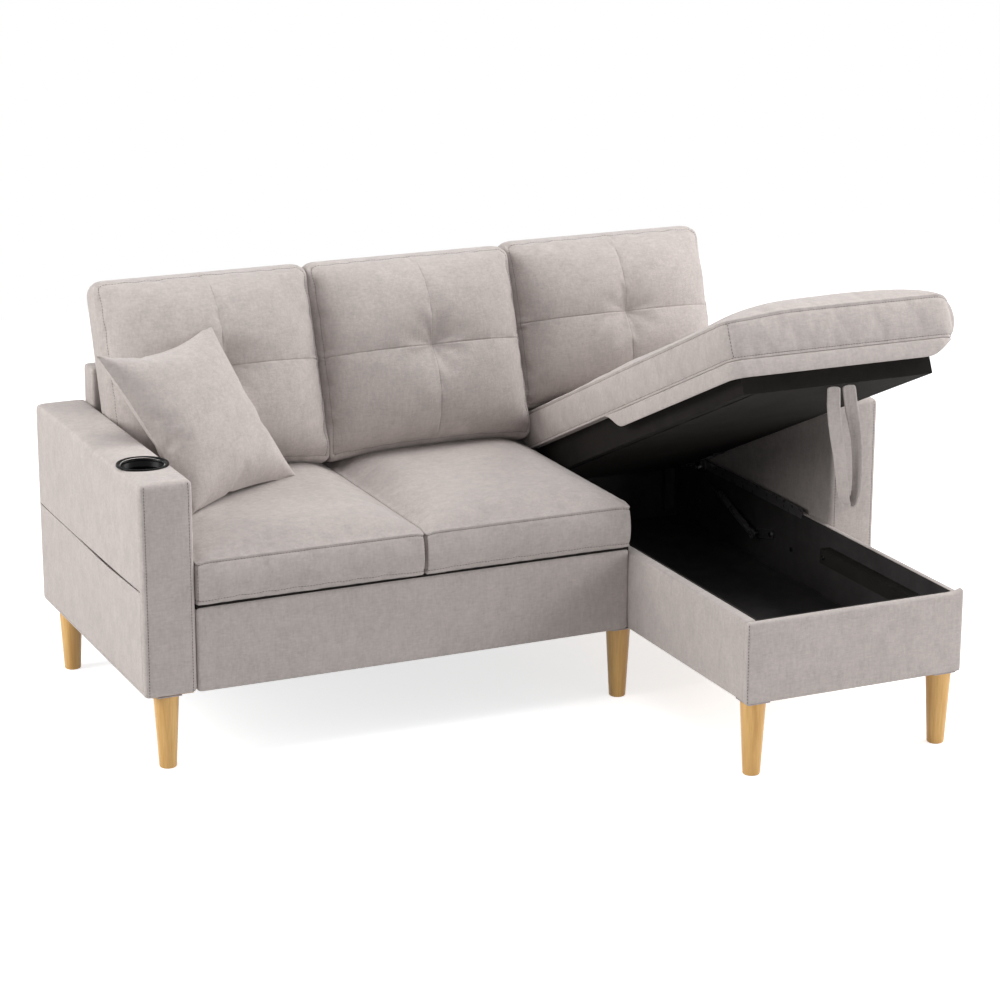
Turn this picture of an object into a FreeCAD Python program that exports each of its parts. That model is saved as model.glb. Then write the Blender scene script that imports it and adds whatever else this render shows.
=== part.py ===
"""Corner sofa with a lift-up storage chaise, in millimetres, as a parametric document.

Row frame: X to the viewer's right, Y to the back, Z up, with the origin on the floor below
the middle of the outline. The lid of the chaise is modelled propped open.
"""
import FreeCAD, Part
import math
import os
import re
import Sketcher

Vector = FreeCAD.Vector

doc = FreeCAD.newDocument("storage_corner_sofa")

# Driving sizes, as name and plain number

SIZES = [
    # Whole sofa
    ("overall_width", 1780),
    ("overall_depth", 1305),
    ("leg_length", 167),
    ("soft_gap", 0.3),
    ("cut_overrun", 2),
    # Arms
    ("arm_width", 118),
    ("arm_depth", 755),
    ("arm_height", 637),
    ("arm_edge_radius", 7),
    ("arm_skin", 8),
    ("arm_board", 12),
    ("arm_batten", 30),
    # Pocket on the outer face of the left arm
    ("pocket_height", 398),
    ("pocket_setback", 46),
    ("pocket_margin", 12),
    ("pocket_skin", 3),
    ("pocket_gap", 7),
    ("pocket_mouth", 8),
    # Cup holder in the left arm
    ("cup_setback", 153),
    ("cup_bore_radius", 41),
    ("cup_wall", 2.5),
    ("cup_flange_radius", 54),
    ("cup_rim_height", 3),
    ("cup_depth", 72),
    ("cup_clearance", 0.3),
    # Base under the two seats
    ("base_height", 356),
    ("front_panel", 26),
    ("rail_width", 30),
    ("webbing_thickness", 2),
    ("webbing_width", 50),
    ("webbing_count", 9),
    ("deck_thickness", 8),
    ("deck_rise", 3.7),
    ("dust_cloth", 1.5),
    # Seat cushions
    ("seat_overhang", 3),
    ("seat_boxing", 97),
    ("seat_crown", 28),
    ("seat_round", 15),
    ("seat_draw", 3),
    # Back
    ("back_height", 720),
    ("back_depth", 65),
    ("back_skin", 8),
    ("back_skirt", 18),
    ("back_edge_radius", 7),
    ("back_post", 45),
    ("back_rail", 50),
    # Back cushions
    ("back_lean", 18.5),
    ("back_cushion_height", 449),
    ("back_cushion_edge", 58),
    ("back_cushion_puff", 158),
    ("back_cushion_valley", 147),
    ("back_cushion_tuft", 124),
    ("back_cushion_rear", 33),
    ("back_seam_rise", 20),
    ("back_cushion_round", 26),
    ("back_cushion_sink", 25),
    ("pressed_cushion_height", 390),
    ("pressed_cushion_rear", 16),
    ("pressed_cushion_lift", 48),
    # Throw pillow
    ("pillow_width", 355),
    ("pillow_height", 384),
    ("pillow_thickness", 112),
    ("pillow_seam", 5),
    ("pillow_draw", 13),
    ("pillow_slump", 84),
    ("pillow_turn", 31),
    ("pillow_lean", 28),
    ("pillow_from_arm", 230),
    ("pillow_from_front", 325),
    ("pillow_rest_gap", 0.8),
    # Storage box of the chaise
    ("chaise_width", 520.5),
    ("chaise_height", 348),
    ("chaise_left_wall", 28),
    ("chaise_right_wall", 16),
    ("chaise_front_wall", 18),
    ("chaise_rear_wall", 16),
    ("chaise_floor", 12),
    ("chaise_lining", 1.5),
    ("front_overlap", 3),
    ("chaise_edge_radius", 5),
    # Rest cleats and rear corner brackets in the box
    ("cleat_width", 26),
    ("cleat_height", 34),
    ("cleat_drop", 43),
    ("cleat_from_front", 60),
    ("cleat_length", 440),
    ("bracket_width", 36),
    ("bracket_return", 22),
    ("bracket_steel", 2.5),
    ("bracket_length", 116),
    ("bracket_drop", 33),
    # Legs
    ("leg_top_radius", 27),
    ("leg_foot_radius", 18.5),
    ("leg_sides", 32),
    ("leg_plate", 2),
    ("arm_leg_inset", 56),
    ("leg_setback", 32),
    ("base_leg_inset", 10),
    ("chaise_leg_inset", 30),
    # Lid of the chaise, in its closed place
    ("lid_open_angle", 24),
    ("pivot_reach", 679),
    ("lid_frame_gap", 6.5),
    ("lid_front_gap", 1.5),
    ("lid_rear_gap", 19),
    ("lid_frame_height", 71),
    ("lid_frame_drop", 31),
    ("lid_rail", 24),
    ("lid_slat", 40),
    ("lid_bays", 7),
    ("lid_underlining", 1),
    ("lid_skirt_overlap", 8.5),
    ("lid_skirt_reach", 560),
    ("lid_skirt_curve", 75),
    ("lid_skirt_round", 9),
    ("lid_cushion_boxing", 78),
    ("lid_cushion_crown", 24),
    ("lid_cushion_inset", 10),
    ("lid_cushion_rear_gap", 46),
    ("lid_cushion_bulge", 35),
    ("lid_cushion_side", 4),
    ("lid_bulge_reach", 490),
    ("lid_cushion_nose", 6),
    # Pull strap under the front of the lid
    ("strap_drop", 255),
    ("strap_width", 96),
    ("strap_ribbon", 24),
    ("strap_thickness", 3),
    ("strap_from_side", 262),
    # Lift mechanism
    ("steel", 3),
    ("steel_gap", 0.5),
    ("ear_radius", 9),
    ("ear_fillet", 7.5),
    ("pin_radius", 4),
    ("pin_clearance", 0.1),
    ("rail_front_reach", 95),
    ("rail_bend_reach", 430),
    ("rail_rise", 15),
    ("rail_depth", 24),
    ("plate_front_reach", 466),
    ("plate_height", 30),
    ("eye_reach", 584),
    ("eye_drop", 46),
    ("eye_tab", 10),
    ("eye_tab_root", 16),
    ("flange_width", 27),
    ("flange_front_length", 88),
    ("flange_rear_reach", 612),
    ("flange_rear_length", 34),
    ("strut_foot_reach", 296),
    ("strut_foot_drop", 98),
    ("foot_plate_reach", 11.7),
    ("foot_plate_nose", 10.8),
    ("strut_offset", 20),
    ("strut_radius", 8),
    ("strut_cylinder_length", 172),
    ("strut_overlap", 60),
    ("rod_radius", 4),
    ("eye_radius", 11.5),
    ("eye_width", 7),
    ("eye_clearance", 3.6),
    # Bolt heads
    ("bolt_head_radius", 6),
    ("bolt_head_height", 3.5),
    ("foot_bolt_reach", 236),
    ("foot_bolt_drop", 86),
    ("front_bolt_reach", 140),
    ("rear_bolt_reach", 596),
    ("wall_bolt_drop", 97),
]

# Places worked out from the driving sizes, as name and formula

PLACES = [
    ("left_side", "-overall_width / 2"),
    ("right_side", "overall_width / 2"),
    ("front_side", "-overall_depth / 2"),
    ("rear_side", "overall_depth / 2"),
    ("arm_front", "rear_side - arm_depth"),
    ("seat_left", "left_side + arm_width"),
    ("chaise_right", "right_side - arm_width"),
    ("chaise_left", "chaise_right - chaise_width"),
    ("seat_width", "(chaise_left - seat_left) / 2"),
    ("seat_middle", "seat_left + seat_width"),
    ("back_front", "rear_side - back_depth"),
    ("boxes_rear", "rear_side - back_skirt"),
    ("deck_top", "base_height + deck_rise"),
    ("deck_bottom", "deck_top - deck_thickness"),
    ("rail_top", "deck_bottom - webbing_thickness"),
    ("rail_bottom", "leg_length + dust_cloth"),
    ("seat_bottom", "deck_top + soft_gap"),
    ("seat_depth", "back_front - arm_front + seat_overhang - soft_gap"),
    ("box_front", "front_side + chaise_front_wall"),
    ("box_left", "chaise_left + chaise_left_wall"),
    ("box_right", "chaise_right - chaise_right_wall"),
    ("box_rear", "boxes_rear - chaise_rear_wall"),
    ("box_floor", "leg_length + chaise_floor"),
    ("lining_left", "box_left + chaise_lining"),
    ("lining_right", "box_right - chaise_lining"),
    ("lining_front", "box_front + chaise_lining"),
    ("lining_rear", "box_rear - chaise_lining"),
    ("pivot_depth", "arm_front + pivot_reach"),
    ("pivot_level", "chaise_height"),
    ("lid_left", "lining_left + lid_frame_gap"),
    ("lid_right", "lining_right - lid_frame_gap"),
    ("lid_front", "lining_front + lid_front_gap"),
    ("lid_rear", "pivot_depth - lid_rear_gap"),
    ("lid_frame_length", "lid_rear - lid_front"),
    ("lid_bottom", "chaise_height - lid_frame_drop"),
    ("lid_top", "lid_bottom + lid_frame_height"),
    ("lid_bay_pitch", "(lid_frame_length - 2 * lid_rail + lid_slat) / lid_bays"),
    ("lid_cushion_left", "chaise_left + lid_cushion_inset"),
    ("lid_cushion_front", "front_side - lid_cushion_nose / 2"),
    ("lid_cushion_length", "lid_rear - lid_cushion_rear_gap - lid_cushion_front"),
    ("lid_cushion_right", "chaise_right - lid_cushion_inset"),
    ("eye_closed_back", "arm_front + eye_reach - pivot_depth"),
    ("eye_depth", "pivot_depth + eye_closed_back * cos(lid_open_angle) - eye_drop * sin(lid_open_angle)"),
    ("eye_level", "pivot_level - eye_closed_back * sin(lid_open_angle) - eye_drop * cos(lid_open_angle)"),
    ("foot_depth", "arm_front + strut_foot_reach"),
    ("foot_level", "chaise_height - strut_foot_drop"),
    ("strut_length", "hypot(eye_depth - foot_depth; eye_level - foot_level)"),
    ("strut_angle", "atan2(eye_level - foot_level; eye_depth - foot_depth)"),
    ("strap_corner_back", "lid_front - pivot_depth"),
    ("strap_depth", "pivot_depth + strap_corner_back * cos(lid_open_angle) - lid_frame_drop * sin(lid_open_angle)"),
    ("strap_level", "pivot_level - strap_corner_back * sin(lid_open_angle) - lid_frame_drop * cos(lid_open_angle)"),
]

OWNER = {}
for alias, number in SIZES:
    OWNER[alias] = "sizes"
for alias, formula in PLACES:
    OWNER[alias] = "places"


def bound(text):
    """Put its sheet's name before each alias in an expression."""
    def with_sheet(word):
        name = word.group()
        return OWNER[name] + "." + name if name in OWNER else name
    return re.sub(r"[a-z][a-z_]+", with_sheet, str(text))


def fill_sheet(sheet, rows):
    """Write names in column A and their cells, with aliases, in column B."""
    for line, (alias, content) in enumerate(rows, start=1):
        sheet.set("A%d" % line, alias)
        sheet.set("B%d" % line, str(content))
        sheet.setAlias("B%d" % line, alias)


sizes = doc.addObject("Spreadsheet::Sheet", "sizes")
fill_sheet(sizes, SIZES)
places = doc.addObject("Spreadsheet::Sheet", "places")
fill_sheet(places, [(alias, "=" + bound(formula)) for alias, formula in PLACES])
doc.recompute()


def size(name):
    """The value of a cell of either sheet, as a float."""
    value = (sizes if OWNER[name] == "sizes" else places).get(name)
    return float(getattr(value, "Value", value))


# Helpers for pieces bound to the sheets

NODES = {}


def node(feature, label):
    """Keep a finished piece under the name of its file."""
    feature.Label = label
    NODES[label] = feature
    return feature


def turned(angle, centre, base=("0", "0", "0"), axis="1; 0; 0"):
    """Placement expression of a piece with its origin at base, turned about a centre."""
    arm = "; ".join("(%s) - (%s)" % (c, b) for c, b in zip(centre, base))
    parts = ("create(<<vector>>; %s)" % "; ".join(base),
             "create(<<rotation>>; create(<<vector>>; %s); %s)" % (axis, angle),
             "create(<<vector>>; %s)" % arm)
    return bound("create(<<placement>>; %s)" % "; ".join(parts))


def with_the_lid(feature):
    """Swing a piece drawn in its closed place up with the open lid."""
    pivot = ("0", "pivot_depth", "pivot_level")
    feature.setExpression("Placement", turned("-lid_open_angle", pivot))
    return feature


def block(label, x_span, y_span, z_span):
    """A square-edged piece between two places along each axis."""
    box = doc.addObject("Part::Box", label)
    spans = (x_span, y_span, z_span)
    for side, axis, (low, high) in zip(("Length", "Width", "Height"), "xyz", spans):
        box.setExpression(side, bound("(%s) - (%s)" % (high, low)))
        box.setExpression("Placement.Base." + axis, bound(low))
    return box


def group(label, members):
    """Separate solids that share one node."""
    compound = doc.addObject("Part::Compound", label)
    compound.Links = members
    return compound


def new_body(label):
    """An empty PartDesign body."""
    return doc.addObject("PartDesign::Body", label)


def new_sketch(body, plane, offset):
    """A sketch on one of the body's origin planes, moved along its normal."""
    sketch = body.newObject("Sketcher::SketchObject", body.Name + "_sketch")
    origin_plane = [f for f in body.Origin.OriginFeatures if f.Role == plane + "_Plane"][0]
    sketch.AttachmentSupport = [(origin_plane, "")]
    sketch.MapMode = "FlatFace"
    sketch.setExpression("AttachmentOffset.Base.z", bound(offset))
    return sketch


def pin_point(sketch, geometry, point, place, start):
    """Hold a sketch point at a place given by two expressions."""
    for kind, text, value in zip(("DistanceX", "DistanceY"), place, (start.x, start.y)):
        index = sketch.addConstraint(Sketcher.Constraint(kind, -1, 1, geometry, point, value))
        sketch.setExpression("Constraints[%d]" % index, bound(text))


def outline(body, plane, offset, corners):
    """A sketch of straight sides through corners, each bound to the sheets."""
    sketch = new_sketch(body, plane, offset)
    count = len(corners)
    turn = 2 * math.pi / count
    start = [Vector(math.cos(turn * k), math.sin(turn * k), 0) for k in range(count)]
    for k in range(count):
        sketch.addGeometry(Part.LineSegment(start[k], start[(k + 1) % count]), False)
    for k in range(count):
        sketch.addConstraint(Sketcher.Constraint("Coincident", k, 2, (k + 1) % count, 1))
        pin_point(sketch, k, 1, corners[k], start[k])
    return sketch


def hexagon(body, plane, offset, centre, radius):
    """A sketch of a bolt's six-sided head round a bound centre."""
    corners = []
    for k in range(6):
        across, along = "(%s) * cos(60 * %d)" % (radius, k), "(%s) * sin(60 * %d)" % (radius, k)
        corners.append(("%s + %s" % (centre[0], across), "%s + %s" % (centre[1], along)))
    return outline(body, plane, offset, corners)


def ring(body, plane, offset, centre, radius):
    """A sketch of one circle bound to the sheets."""
    sketch = new_sketch(body, plane, offset)
    sketch.addGeometry(Part.Circle(Vector(1, 1, 0), Vector(0, 0, 1), 1), False)
    pin_point(sketch, 0, 3, centre, Vector(1, 1, 0))
    index = sketch.addConstraint(Sketcher.Constraint("Radius", 0, 1))
    sketch.setExpression("Constraints[%d]" % index, bound(radius))
    return sketch


def feature_on(body, kind, sketch, length):
    """A pad, or a pocket that cuts along the sketch's normal, of a bound length."""
    feature = body.newObject("PartDesign::" + kind, body.Name + "_" + kind.lower())
    feature.Profile = sketch
    feature.setExpression("Length", bound(length))
    feature.Reversed = kind == "Pocket"
    return feature


def pad(body, sketch, length):
    """Material from the sketch along its plane's normal."""
    return feature_on(body, "Pad", sketch, length)


def pocket(body, sketch, length):
    """A cut from the sketch along its plane's normal."""
    return feature_on(body, "Pocket", sketch, length)


def revolve(body, sketch):
    """A full turn of a profile about the body's Z axis."""
    turn = body.newObject("PartDesign::Revolution", body.Name + "_turn")
    turn.Profile = sketch
    axis = [f for f in body.Origin.OriginFeatures if f.Role == "Z_Axis"][0]
    turn.ReferenceAxis = (axis, [""])
    turn.Angle = 360
    return turn


def rounded(body, radius, wanted):
    """Fillet the edges of the body's last feature that pass a test."""
    doc.recompute()
    base = body.Tip
    names = ["Edge%d" % k for k, edge in enumerate(base.Shape.Edges, start=1) if wanted(edge)]
    fillet = body.newObject("PartDesign::Fillet", body.Name + "_fillet")
    fillet.Base = (base, names)
    fillet.setExpression("Radius", bound(radius))
    return fillet


def rectangle(x_span, y_span):
    """Corners of a rectangle between two places along each sketch axis."""
    (x_low, x_high), (y_low, y_high) = x_span, y_span
    return [(x_low, y_low), (x_high, y_low), (x_high, y_high), (x_low, y_high)]


def runs_along(edge, axis):
    """True where a straight edge is parallel to an axis."""
    if len(edge.Vertexes) < 2:
        return False
    span = edge.Vertexes[1].Point - edge.Vertexes[0].Point
    return span.Length > 0 and abs(abs(span.normalize().dot(axis)) - 1) < 1e-6


UP = Vector(0, 0, 1)
ACROSS = Vector(1, 0, 0)
BACK = Vector(0, 1, 0)


def arc(start, through, end):
    """An arc through three points."""
    return Part.Arc(start, through, end).toShape()


def line(start, end):
    """A straight edge."""
    return Part.LineSegment(start, end).toShape()


def lofted(label, wires):
    """A soft piece, ruled through its sections."""
    feature = doc.addObject("Part::Feature", label)
    feature.Shape = Part.makeLoft(wires, True, True)
    return feature


# Arms

def upright_or_top(level):
    """Test for upright edges and for edges at a level."""
    def wanted(edge):
        box = edge.BoundBox
        return runs_along(edge, UP) or (abs(box.ZMin - level) < 1e-6 and abs(box.ZMax - level) < 1e-6)
    return wanted


def arm_cover(side, low, high):
    """Padded cover of an arm: a box of one skin, open below."""
    body = new_body(side + "_arm_cover")
    around = rectangle((low, high), ("arm_front", "rear_side"))
    pad(body, outline(body, "XY", "leg_length", around), "arm_height - leg_length")
    rounded(body, "arm_edge_radius", upright_or_top(size("arm_height")))
    inside = rectangle((low + " + arm_skin", high + " - arm_skin"),
                       ("arm_front + arm_skin", "rear_side - arm_skin"))
    if side == "left":
        inside[0] = (low + " + arm_skin + pocket_skin + pocket_gap", inside[0][1])
        inside[3] = (inside[0][0], inside[3][1])
    pocket(body, outline(body, "XY", "leg_length", inside), "arm_height - leg_length - arm_skin")
    if side == "left":
        inside[0] = (low + " + arm_skin", inside[0][1])
        inside[3] = (inside[0][0], inside[3][1])
        pocket(body, outline(body, "XY", "pocket_height + pocket_mouth + arm_skin", inside),
               "arm_height - pocket_height - pocket_mouth - 2 * arm_skin")
    return body


def arm_frame(side, board_low, board_high, batten_low, batten_high):
    """Inner board of an arm with a batten along its foot and top, notched for the cup."""
    body = new_body(side + "_arm_frame")
    y_span = ("arm_front + arm_skin", "rear_side - arm_skin")
    top = "arm_height - arm_skin"
    pad(body, outline(body, "YZ", board_low, rectangle(y_span, ("leg_length", top))),
        "%s - (%s)" % (board_high, board_low))
    pad(body, outline(body, "YZ", batten_low,
                      rectangle(y_span, ("leg_length", "leg_length + arm_batten"))),
        "%s - (%s)" % (batten_high, batten_low))
    cup_end = "arm_front + cup_setback + cup_flange_radius"
    pad(body, outline(body, "YZ", batten_low,
                      rectangle((cup_end, "rear_side - arm_skin"), (top + " - arm_batten", top))),
        "%s - (%s)" % (batten_high, batten_low))
    if side == "left":
        notch = rectangle(("arm_front + cup_setback - cup_flange_radius", cup_end),
                          ("arm_height - cup_depth - arm_skin - arm_batten", top + " + cut_overrun"))
        pocket(body, outline(body, "YZ", board_low + " - cut_overrun", notch),
               "arm_board + 2 * cut_overrun")
    return body


left_cover = arm_cover("left", "left_side", "seat_left")
ring_place = ("left_side + arm_width / 2", "arm_front + cup_setback")
pocket(left_cover, ring(left_cover, "XY", "arm_height - arm_skin - cut_overrun", ring_place,
                        "cup_bore_radius + cup_wall + cup_clearance"),
       "arm_skin + 2 * cut_overrun")
pocket_span = ("arm_front + pocket_setback", "rear_side - pocket_margin")
recess = rectangle(pocket_span, ("leg_length + pocket_margin", "pocket_height + pocket_mouth"))
pocket(left_cover, outline(left_cover, "YZ", "left_side - cut_overrun", recess),
       "cut_overrun + pocket_skin + pocket_gap")
node(left_cover, "left_arm_cover")
node(arm_cover("right", "chaise_right", "right_side"), "right_arm_cover")

inner = "left_side + arm_skin + pocket_skin + pocket_gap"
node(arm_frame("left", "seat_left - arm_skin - arm_board", "seat_left - arm_skin",
               inner, "seat_left - arm_skin - arm_board"), "left_arm_frame")
node(arm_frame("right", "chaise_right + arm_skin", "chaise_right + arm_skin + arm_board",
               "chaise_right + arm_skin + arm_board", "right_side - arm_skin"), "right_arm_frame")

# Side pocket, a shallow tray sewn to the arm on three sides and open above

side_pocket = new_body("side_pocket")
tray = rectangle(pocket_span, ("leg_length + pocket_margin", "pocket_height"))
pad(side_pocket, outline(side_pocket, "YZ", "left_side", tray), "pocket_skin + pocket_gap")
hollow = rectangle(("arm_front + pocket_setback + pocket_skin", "rear_side - pocket_margin - pocket_skin"),
                   ("leg_length + pocket_margin + pocket_skin", "pocket_height + cut_overrun"))
pocket(side_pocket, outline(side_pocket, "YZ", "left_side + pocket_skin", hollow),
       "pocket_gap + cut_overrun")
node(side_pocket, "side_pocket")

# Cup holder, turned from a profile of its wall, floor, flange and raised rim

cup_holder = new_body("cup_holder")
cup_outside = "cup_bore_radius + cup_wall"
cup_profile = [
    ("0", "-cup_depth"),
    (cup_outside, "-cup_depth"),
    (cup_outside, "0"),
    ("cup_flange_radius", "0"),
    ("cup_flange_radius", "cup_rim_height"),
    ("cup_bore_radius", "cup_rim_height"),
    ("cup_bore_radius", "cup_wall - cup_depth"),
    ("0", "cup_wall - cup_depth"),
]
revolve(cup_holder, outline(cup_holder, "XZ", "0", cup_profile))
cup_holder.setExpression("Placement.Base.x", bound(ring_place[0]))
cup_holder.setExpression("Placement.Base.y", bound(ring_place[1]))
cup_holder.setExpression("Placement.Base.z", bound("arm_height"))
node(cup_holder, "cup_holder")

# Base under the two seats

seat_span = ("seat_left", "chaise_left")
rail_levels = ("rail_bottom", "rail_top")
rails_front = "arm_front + front_panel"
between_rails = (rails_front + " + rail_width", "boxes_rear - rail_width")

base_panel = new_body("base_front_panel")
pad(base_panel, outline(base_panel, "XY", "leg_length", rectangle(seat_span, ("arm_front", rails_front))),
    "base_height - leg_length")
rounded(base_panel, "arm_edge_radius",
        lambda edge: runs_along(edge, ACROSS) and edge.BoundBox.YMax < size("arm_front") + 1)
node(base_panel, "base_front_panel")
node(block("base_front_rail", seat_span, (rails_front, rails_front + " + rail_width"), rail_levels),
     "base_front_rail")
node(block("base_rear_rail", seat_span, ("boxes_rear - rail_width", "boxes_rear"), rail_levels),
     "base_rear_rail")
for name, low in (("left", "seat_left"), ("centre", "seat_middle - rail_width / 2"),
                  ("right", "chaise_left - rail_width")):
    label = "base_%s_rail" % name
    node(block(label, (low, low + " + rail_width"), between_rails, rail_levels), label)

webbing = []
for k in range(int(size("webbing_count"))):
    middle = "seat_left + (%d + 0.5) * 2 * seat_width / webbing_count" % k
    webbing.append(block("webbing_%d" % k,
                         (middle + " - webbing_width / 2", middle + " + webbing_width / 2"),
                         (rails_front, "boxes_rear - 2 * rail_width / 3"),
                         ("rail_top", "deck_bottom")))
node(group("seat_webbing", webbing), "seat_webbing")
node(block("seat_deck", seat_span, (rails_front, "back_front"), ("deck_bottom", "deck_top")), "seat_deck")
node(block("base_dust_cloth", seat_span, (rails_front, "boxes_rear"), ("leg_length", "rail_bottom")),
     "base_dust_cloth")

# Back: a padded cover over a top rail and four posts

back_cover = new_body("back_cover")
back_profile = [
    ("back_front", "base_height + deck_rise"),
    ("back_front", "back_height"),
    ("rear_side", "back_height"),
    ("rear_side", "leg_length"),
    ("boxes_rear", "leg_length"),
    ("boxes_rear", "base_height + deck_rise"),
]
pad(back_cover, outline(back_cover, "YZ", "seat_left", back_profile), "chaise_right - seat_left")
rounded(back_cover, "back_edge_radius",
        lambda edge: runs_along(edge, ACROSS) and edge.BoundBox.ZMin > size("back_height") - 1)
cavity = rectangle(("seat_left + back_skin", "chaise_right - back_skin"), ("back_front + back_skin", "boxes_rear"))
pocket(back_cover, outline(back_cover, "XY", "deck_top - cut_overrun", cavity),
       "back_height - deck_top - back_skin + cut_overrun")
node(back_cover, "back_cover")

back_depths = ("back_front + back_skin", "boxes_rear")
node(block("back_top_rail", ("seat_left + back_skin", "chaise_right - back_skin"), back_depths,
           ("back_height - back_skin - back_rail", "back_height - back_skin")), "back_top_rail")
posts = []
for k, low in enumerate(("seat_left + back_skin", "seat_middle - back_post / 2",
                         "chaise_left - back_post", "chaise_right - back_skin - back_post")):
    foot = "chaise_height" if k == 3 else "rail_top"
    posts.append(block("back_post_%d" % k, (low, low + " + back_post"),
                       ("box_rear" if k == 3 else "boxes_rear - 2 * rail_width / 3", "boxes_rear"),
                       (foot, "back_height - back_skin - back_rail")))
node(group("back_posts", posts), "back_posts")

# Storage box of the chaise

box_levels = ("leg_length", "chaise_height")
front_panel = new_body("chaise_front_panel")
pad(front_panel, outline(front_panel, "XY", "leg_length",
                         rectangle(("chaise_left - front_overlap", "chaise_right + front_overlap"),
                                   ("front_side", "box_front"))), "chaise_height - leg_length")
rounded(front_panel, "chaise_edge_radius", lambda edge: edge.BoundBox.YMax < size("front_side") + 1)
node(front_panel, "chaise_front_panel")
node(block("chaise_left_wall", ("chaise_left", "box_left"), ("box_front", "boxes_rear"), box_levels),
     "chaise_left_wall")
node(block("chaise_right_wall", ("box_right", "chaise_right"), ("box_front", "boxes_rear"), box_levels),
     "chaise_right_wall")
node(block("chaise_rear_wall", ("box_left", "box_right"), ("box_rear", "boxes_rear"), box_levels),
     "chaise_rear_wall")
node(block("chaise_floor", ("box_left", "box_right"), ("box_front", "box_rear"), ("leg_length", "box_floor")),
     "chaise_floor")

lining = doc.addObject("Part::Cut", "chaise_lining")
lining.Base = block("lining_outside", ("box_left", "box_right"), ("box_front", "box_rear"),
                    ("box_floor", "chaise_height"))
lining.Tool = block("lining_inside", ("lining_left", "lining_right"), ("lining_front", "lining_rear"),
                    ("box_floor + chaise_lining", "chaise_height + cut_overrun"))
node(lining, "chaise_lining")


def inward(side, near, far):
    """Span across the box from its left or right lining towards its middle."""
    if side == "left":
        return ("lining_left + " + near, "lining_left + " + far)
    return ("lining_right - (%s)" % far, "lining_right - (%s)" % near)


cleats = []
for side in ("left", "right"):
    across = inward(side, "0", "cleat_width")
    cleat = new_body(side + "_cleat")
    top = "chaise_height - cleat_drop"
    start = "lining_front + cleat_from_front"
    ramp = "cleat_height / 2"
    cleat_profile = [
        (start, top + " - cleat_height"),
        (start + " + cleat_length", top + " - cleat_height"),
        (start + " + cleat_length", top),
        (start + " + " + ramp, top),
        (start, top + " - " + ramp),
    ]
    pad(cleat, outline(cleat, "YZ", across[0], cleat_profile), "cleat_width")
    cleats.append(cleat)
node(group("lid_cleats", cleats), "lid_cleats")

brackets = []
for side in ("left", "right"):
    shift, sign = ("lining_left", "+") if side == "left" else ("lining_right", "-")
    wall = "%s %s (steel + steel_gap + steel + steel_gap)" % (shift, sign)
    bracket = new_body(side + "_bracket")
    bracket_profile = [
        (wall, "lining_rear"),
        (wall, "lining_rear - bracket_steel"),
        ("%s %s (bracket_width - bracket_steel)" % (wall, sign), "lining_rear - bracket_steel"),
        ("%s %s (bracket_width - bracket_steel)" % (wall, sign), "lining_rear - bracket_return"),
        ("%s %s bracket_width" % (wall, sign), "lining_rear - bracket_return"),
        ("%s %s bracket_width" % (wall, sign), "lining_rear"),
    ]
    pad(bracket, outline(bracket, "XY", "chaise_height - bracket_drop - bracket_length", bracket_profile),
        "bracket_length")
    brackets.append(bracket)
node(group("rear_brackets", brackets), "rear_brackets")

# Legs, each a round taper of many flat sides, with a square steel plate on top

LEGS = {
    "leg_arm_left_front": ("left_side + arm_leg_inset", "arm_front + leg_setback"),
    "leg_arm_left_rear": ("left_side + arm_leg_inset", "rear_side - leg_setback"),
    "leg_arm_right_front": ("right_side - arm_leg_inset", "arm_front + leg_setback"),
    "leg_arm_right_rear": ("right_side - arm_leg_inset", "rear_side - leg_setback"),
    "leg_base_front": ("chaise_left - base_leg_inset", "arm_front + leg_setback"),
    "leg_base_rear": ("chaise_left - base_leg_inset", "boxes_rear - leg_setback"),
    "leg_chaise_left": ("chaise_left + chaise_leg_inset", "front_side + chaise_leg_inset"),
    "leg_chaise_right": ("chaise_right - chaise_leg_inset", "front_side + chaise_leg_inset"),
}


def leg_solid():
    """Round tapered leg as many flat staves between its foot and its top."""
    count = int(size("leg_sides"))
    height = size("leg_length") - size("leg_plate")
    rims = []
    for radius, level in ((size("leg_foot_radius"), 0), (size("leg_top_radius"), height)):
        angles = [2 * math.pi * k / count for k in range(count + 1)]
        rims.append([Vector(radius * math.cos(a), radius * math.sin(a), level) for a in angles])
    foot, top = rims
    faces = [Part.Face(Part.makePolygon(foot)), Part.Face(Part.makePolygon(top))]
    for k in range(count):
        faces.append(Part.Face(Part.makePolygon([foot[k], foot[k + 1], top[k + 1], top[k], foot[k]])))
    return Part.Solid(Part.Shell(faces))


leg_plates = []
for label, (x_place, y_place) in LEGS.items():
    leg = doc.addObject("Part::Feature", label)
    leg.Shape = leg_solid()
    leg.setExpression("Placement.Base.x", bound(x_place))
    leg.setExpression("Placement.Base.y", bound(y_place))
    node(leg, label)
    half = "leg_top_radius"
    leg_plates.append(block(label + "_plate", (x_place + " - " + half, x_place + " + " + half),
                            (y_place + " - " + half, y_place + " + " + half),
                            ("leg_length - leg_plate", "leg_length")))
node(group("leg_plates", leg_plates), "leg_plates")

# Lid, drawn closed and swung up about its pivot

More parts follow.
